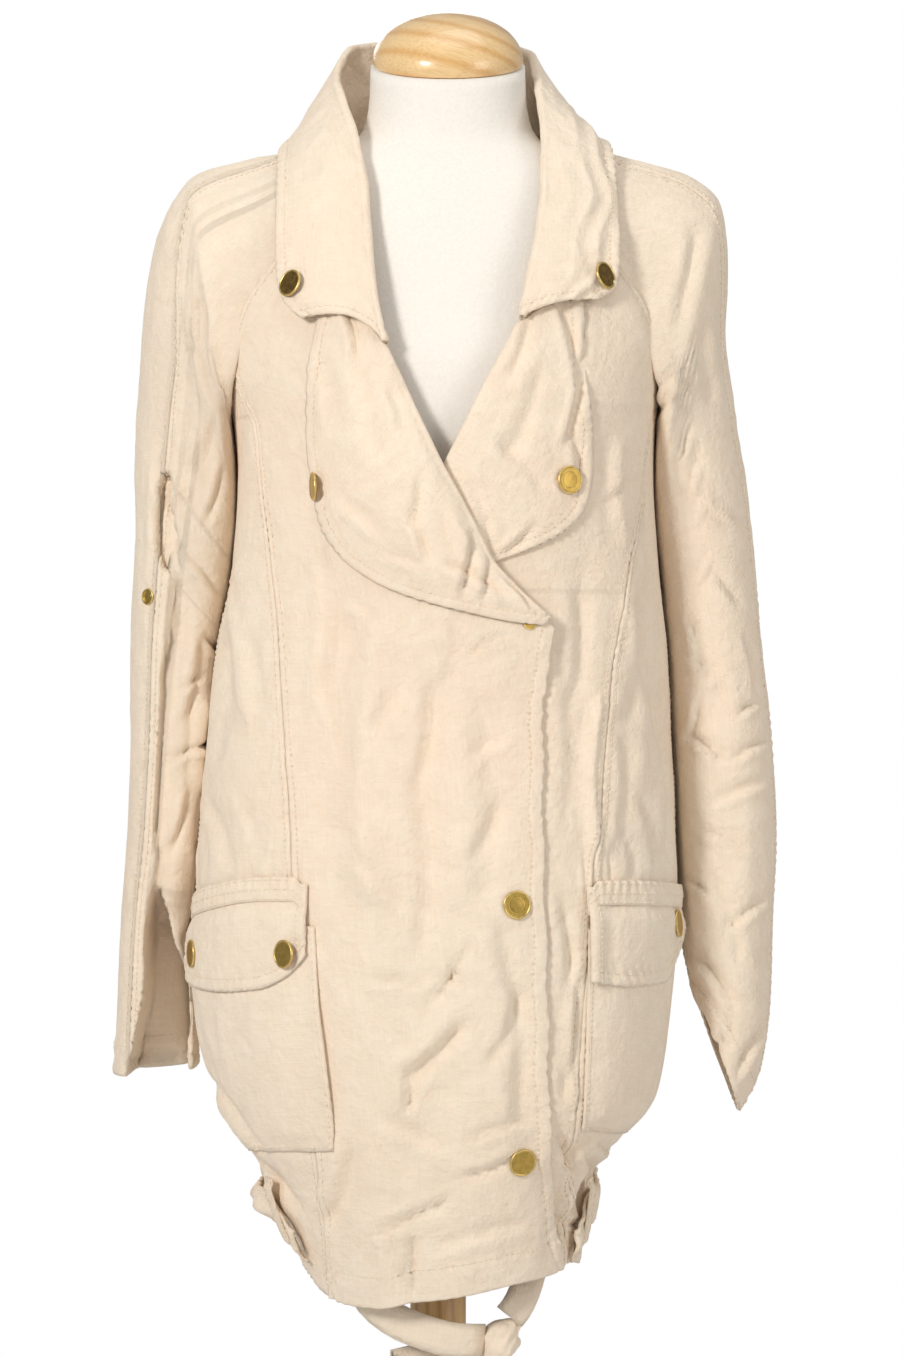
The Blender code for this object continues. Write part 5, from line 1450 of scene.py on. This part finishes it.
BELT_EDGE = ("hem", 3.4, 0.8)
LOOP_EDGE = ("hem", 1.8, 0.3)
cloth_piece("belt_back", belt_back(), {"low": BELT_EDGE, "top": BELT_EDGE}, 31, thick=BELT_THICK,
            wrinkle=0.5, push=0.5)
for side, sign in (("right", -1), ("left", 1)):
    cloth_piece("belt_loop_" + side, belt_loop(sign), {"left": LOOP_EDGE, "right": LOOP_EDGE},
                33 + sign, thick=1.4, wrinkle=0.1)
for k, (name, grid) in enumerate(BELT_STRAPS.items()):
    cloth_piece(name, grid, {"left": BELT_EDGE, "right": BELT_EDGE}, 36 + k, thick=BELT_THICK,
                wrinkle=0.6)

# ---------------------------------------------------------------- dress form

def closed_rings(name, rings, material):
    """A closed skin through a stack of rings, lowest first, its ends closed by a point."""
    rings = np.asarray(rings, float)
    count, sides = rings.shape[:2]
    points = np.concatenate([rings.reshape(-1, 3), rings[0].mean(0)[None], rings[-1].mean(0)[None]])
    r, c = np.meshgrid(np.arange(count - 1), np.arange(sides), indexing="ij")
    here, right = r * sides + c, r * sides + (c + 1) % sides
    faces = np.stack([here, right, right + sides, here + sides], -1).reshape(-1, 4).tolist()
    top = (count - 1) * sides
    for k in range(sides):
        d = (k + 1) % sides
        faces.append((count * sides, d, k))
        faces.append((count * sides + 1, top + k, top + d))
    return mesh_piece(name, points, faces, material)


def form_ring(height, sides=96):
    """A ring of the form; near its rim the rings slope down to the front."""
    angle = np.arange(sides) * 2 * math.pi / sides
    half, front, back = (column(FORM, k, height) for k in (1, 2, 3))
    facing = np.cos(angle)
    x = FORM_MIDDLE + half * np.sign(np.sin(angle)) * np.abs(np.sin(angle)) ** 0.92
    y = -np.where(facing > 0, front, back) * np.sign(facing) * np.abs(facing) ** 0.9
    return np.stack([x, y, height + RIM_SLOPE * ease(1385, 1471, height) * y], axis=-1)


form_jersey = closed_rings("form_jersey",
                           [form_ring(h) for h in spaced([766, 770, 1385, 1468.5], 7)], knit)
fitted(form_jersey, "form_body")

KNOT_MIDDLE = np.array((39.0, -77.0, 567.0))
# height from its middle, half width and half depth
KNOT = np.array([(-13.5, 5, 4), (-11.5, 10, 7), (-5, 13, 9.5), (1, 12, 9.5), (7, 13.5, 9),
                 (12, 10, 7), (14, 6, 4)])
KNOT_SIDES = 72


def knot_rings():
    """Rings of the knot: lumps of three, with wound bulges on them."""
    angle = np.arange(KNOT_SIDES)[None] * 2 * math.pi / KNOT_SIDES
    rise, wide, deep = KNOT.T[:, :, None]
    lump = 1 + 0.12 * np.cos(3 * angle + 0.12 * rise)
    coarse = KNOT_MIDDLE + np.stack([wide * lump * np.sin(angle), -deep * lump * np.cos(angle),
                                     rise + 0.22 * wide * np.sin(angle)], axis=-1)
    at = spaced([-13.5, 14], 0.9)
    rings = np.stack([curve_at(KNOT[:, 0], coarse[:, c], at) for c in range(KNOT_SIDES)], axis=1)
    level = np.linspace(0, 1, len(rings))[:, None]
    centre = rings.mean(1, keepdims=True)
    bulge = 1 + 0.10 * np.sin(3 * angle + 9 * level) + 0.05 * np.sin(7 * angle - 14 * level)
    return centre + (rings - centre) * np.minimum(bulge, 1.1)[..., None]


knot = closed_rings("cloth_belt_knot", knot_rings(), linen)
fitted(knot, "belt_knot")


def revolved(name, profile, sides, material):
    """Turned on the Z axis by hand: a disc, extruded and sized ring by ring, then closed."""
    bpy.ops.object.select_all(action="DESELECT")
    radius, height = profile[0]
    bpy.ops.mesh.primitive_circle_add(vertices=sides, radius=radius * MM, fill_type="NGON",
                                      location=(0, 0, height * MM))
    piece = bpy.context.object
    piece.name = piece.data.name = name
    bpy.ops.object.transform_apply(location=True, rotation=True, scale=True)
    bpy.ops.object.mode_set(mode="EDIT")
    bpy.ops.mesh.select_mode(type="FACE")
    bpy.ops.mesh.select_all(action="SELECT")
    bpy.ops.mesh.flip_normals()
    bpy.ops.mesh.duplicate()
    bpy.ops.mesh.flip_normals()
    for (r_0, z_0), (r_1, z_1) in zip(profile, profile[1:]):
        bpy.ops.mesh.extrude_region_move(TRANSFORM_OT_translate={"value": (0, 0, (z_1 - z_0) * MM)})
        bpy.ops.transform.resize(value=(r_1 / r_0, r_1 / r_0, 1), center_override=(0, 0, z_1 * MM))
    bpy.ops.mesh.select_all(action="SELECT")
    bpy.ops.mesh.remove_doubles(threshold=0.000001)
    bpy.ops.mesh.normals_make_consistent(inside=False)
    bpy.ops.object.mode_set(mode="OBJECT")
    bpy.ops.object.shade_smooth_by_angle(angle=math.radians(40))
    piece.data.materials.clear()
    piece.data.materials.append(material)
    return piece


def placed(piece, matrix):
    """Moves a piece's mesh to its place, so that its object stays at the origin."""
    piece.data.transform(matrix)
    piece.data.update()


def frame_matrix(point, normal):
    """A matrix that stands a piece's Z axis along a normal at a point in millimetres."""
    rotation = Vector(normal).to_track_quat("Z", "Y").to_matrix().to_4x4()
    return Matrix.Translation(Vector(np.asarray(point) * MM)) @ rotation


def rounded(corners, radius=1.2, steps=4):
    """A profile with its inner corners rounded."""
    corners = np.asarray(corners, float)
    line = [corners[0]]
    for before, corner, after in zip(corners, corners[1:], corners[2:]):
        back, ahead = before - corner, after - corner
        r = min(radius, 0.4 * np.hypot(*back), 0.4 * np.hypot(*ahead))
        start = corner + back / np.hypot(*back) * r
        end = corner + ahead / np.hypot(*ahead) * r
        for t in np.linspace(0, 1, steps):
            line.append((1 - t) ** 2 * start + 2 * t * (1 - t) * corner + t * t * end)
    return line + [corners[-1]]


# profiles as (radius, height)
cap = revolved("varnished_cap", rounded([
    (53.0, 0.4), (54.2, 2.6), (54.4, 6), (53.3, 11), (50, 17), (44.6, 23.5), (36.5, 29),
    (26, 33.6), (13, 36.8), (0.8, 37.8)], 5), 96, cap_timber)
placed(cap, Matrix.Translation((FORM_MIDDLE * MM, 0, 1469 * MM))
       @ Matrix.Rotation(math.atan(RIM_SLOPE), 4, "X"))
pole = revolved("turned_pole", [(19, 26.3), (20, 27.5), (20, 764.5), (19, 765.7)], 48, pole_timber)
base = revolved("turned_base", rounded([
    (172, 0), (175, 3), (175, 17), (168, 24), (150, 26), (60, 26), (1, 26)], 3), 96, pole_timber)
for piece in (pole, base):
    placed(piece, Matrix.Translation((POLE_X * MM, 0, 0)))
fitted(cap, "neck_cap")
fitted(pole, "pole")
fitted(base, "stand_base")

# ---------------------------------------------------------------- snaps

SNAP_DISC = rounded([(8.9, 0.0), (9.7, 0.5), (9.85, 1.2), (9.6, 1.9), (9.1, 2.15), (8.6, 2.0),
                     (8.25, 1.75), (6.0, 1.85), (5.6, 1.75), (5.2, 1.85), (0.3, 2.0)], 0.4, 3)
RING_DISC = rounded([(8.7, 0.0), (9.7, 0.5), (9.85, 1.2), (9.3, 2.2), (8.2, 2.4), (6.9, 2.0),
                     (6.3, 0.9), (5.9, 0.5), (0.3, 0.5)], 0.5, 3)


SNAP_SEAT = 9.5      # the cloth within this of a snap's middle gives its slant
RIM_FROM = 8.3


def worn_rim(piece):
    """Gives the faces at a disc's rim a brighter, worn metal."""
    piece.data.materials.append(brass_rim)
    for face in piece.data.polygons:
        if math.hypot(face.center.x, face.center.y) > RIM_FROM * MM and face.normal.z > -0.5:
            face.material_index = 1


def snap(node, cloth, x, z, size=1.0, lift=0.25, profile=SNAP_DISC, flat=1.0,
         metal=brass_field, swing=0):
    """A pressed brass cap seated on the cloth nearest to a place in the front view.

    swing turns it about the upright, in degrees, and lifts it clear of the cloth.
    """
    points, normals, _ = cloth
    seen = normals[..., 1] < -0.02
    off = np.hypot(points[..., 0] - x, points[..., 2] - z) + np.where(seen, 0, 1000)
    near = off < max(off.min() + 0.5, SNAP_SEAT * size)
    normal = normals[near & seen].mean(0)
    normal /= np.linalg.norm(normal)
    point = points[np.unravel_index(np.argmin(off), off.shape)]
    rise = ((points[near] - point) @ normal).mean()
    lift = lift + 4.5 * math.sin(math.radians(abs(swing)))
    facing = np.array(Matrix.Rotation(math.radians(-swing), 3, "Z") @ Vector(normal))
    piece = revolved("cap_" + node, [(r, h * flat) for r, h in profile], 48, metal)
    worn_rim(piece)
    piece.data.transform(Matrix.Scale(size, 4))
    placed(piece, frame_matrix(point + normal * (rise + lift), facing))
    fitted(piece, node)


# the collar's snaps take the copy of the brass with painted shade
snap("snap_collar_right", COLLAR_OUT, -106, 1301, metal=brass_shaded, swing=14)
snap("snap_collar_left", COLLAR_OUT, 109, 1306, metal=brass_shaded, swing=-22)
snap("snap_lapel_right", LAPEL_OUT["right"], -88.0, 1161, swing=30)
snap("snap_lapel_left", LAPEL_OUT["left"], 84, 1163, lift=1.1)
snap("snap_lapel_tip", TOP_FRONT, 57.0, 1064.8, 0.48, 0.6, flat=0.25)
snap("snap_front_upper", TOP_FRONT, 49.6, 876.7)
snap("snap_front_lower", TOP_FRONT, 53.8, 697.7)
snap("snap_pocket_right_front", FLAPS["right"], -107.5, 841, swing=24)
snap("snap_pocket_right_side", FLAPS["right"], -178, 835)
snap("snap_pocket_left_side", FLAPS["left"], 165, 856)
snap("snap_sleeve_right", SLEEVE_OUT["sleeve_back_right"], -212.5, 1088, 0.6, profile=RING_DISC)

# ---------------------------------------------------------------- stitches and floor

stitches = stitched_mesh("topstitching", thread)
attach(stitches, "root")

bpy.ops.object.select_all(action="DESELECT")
bpy.ops.mesh.primitive_plane_add(size=4.4)
floor = bpy.context.object
floor.name = "pale_floor"
floor.data.materials.append(floor_paint)
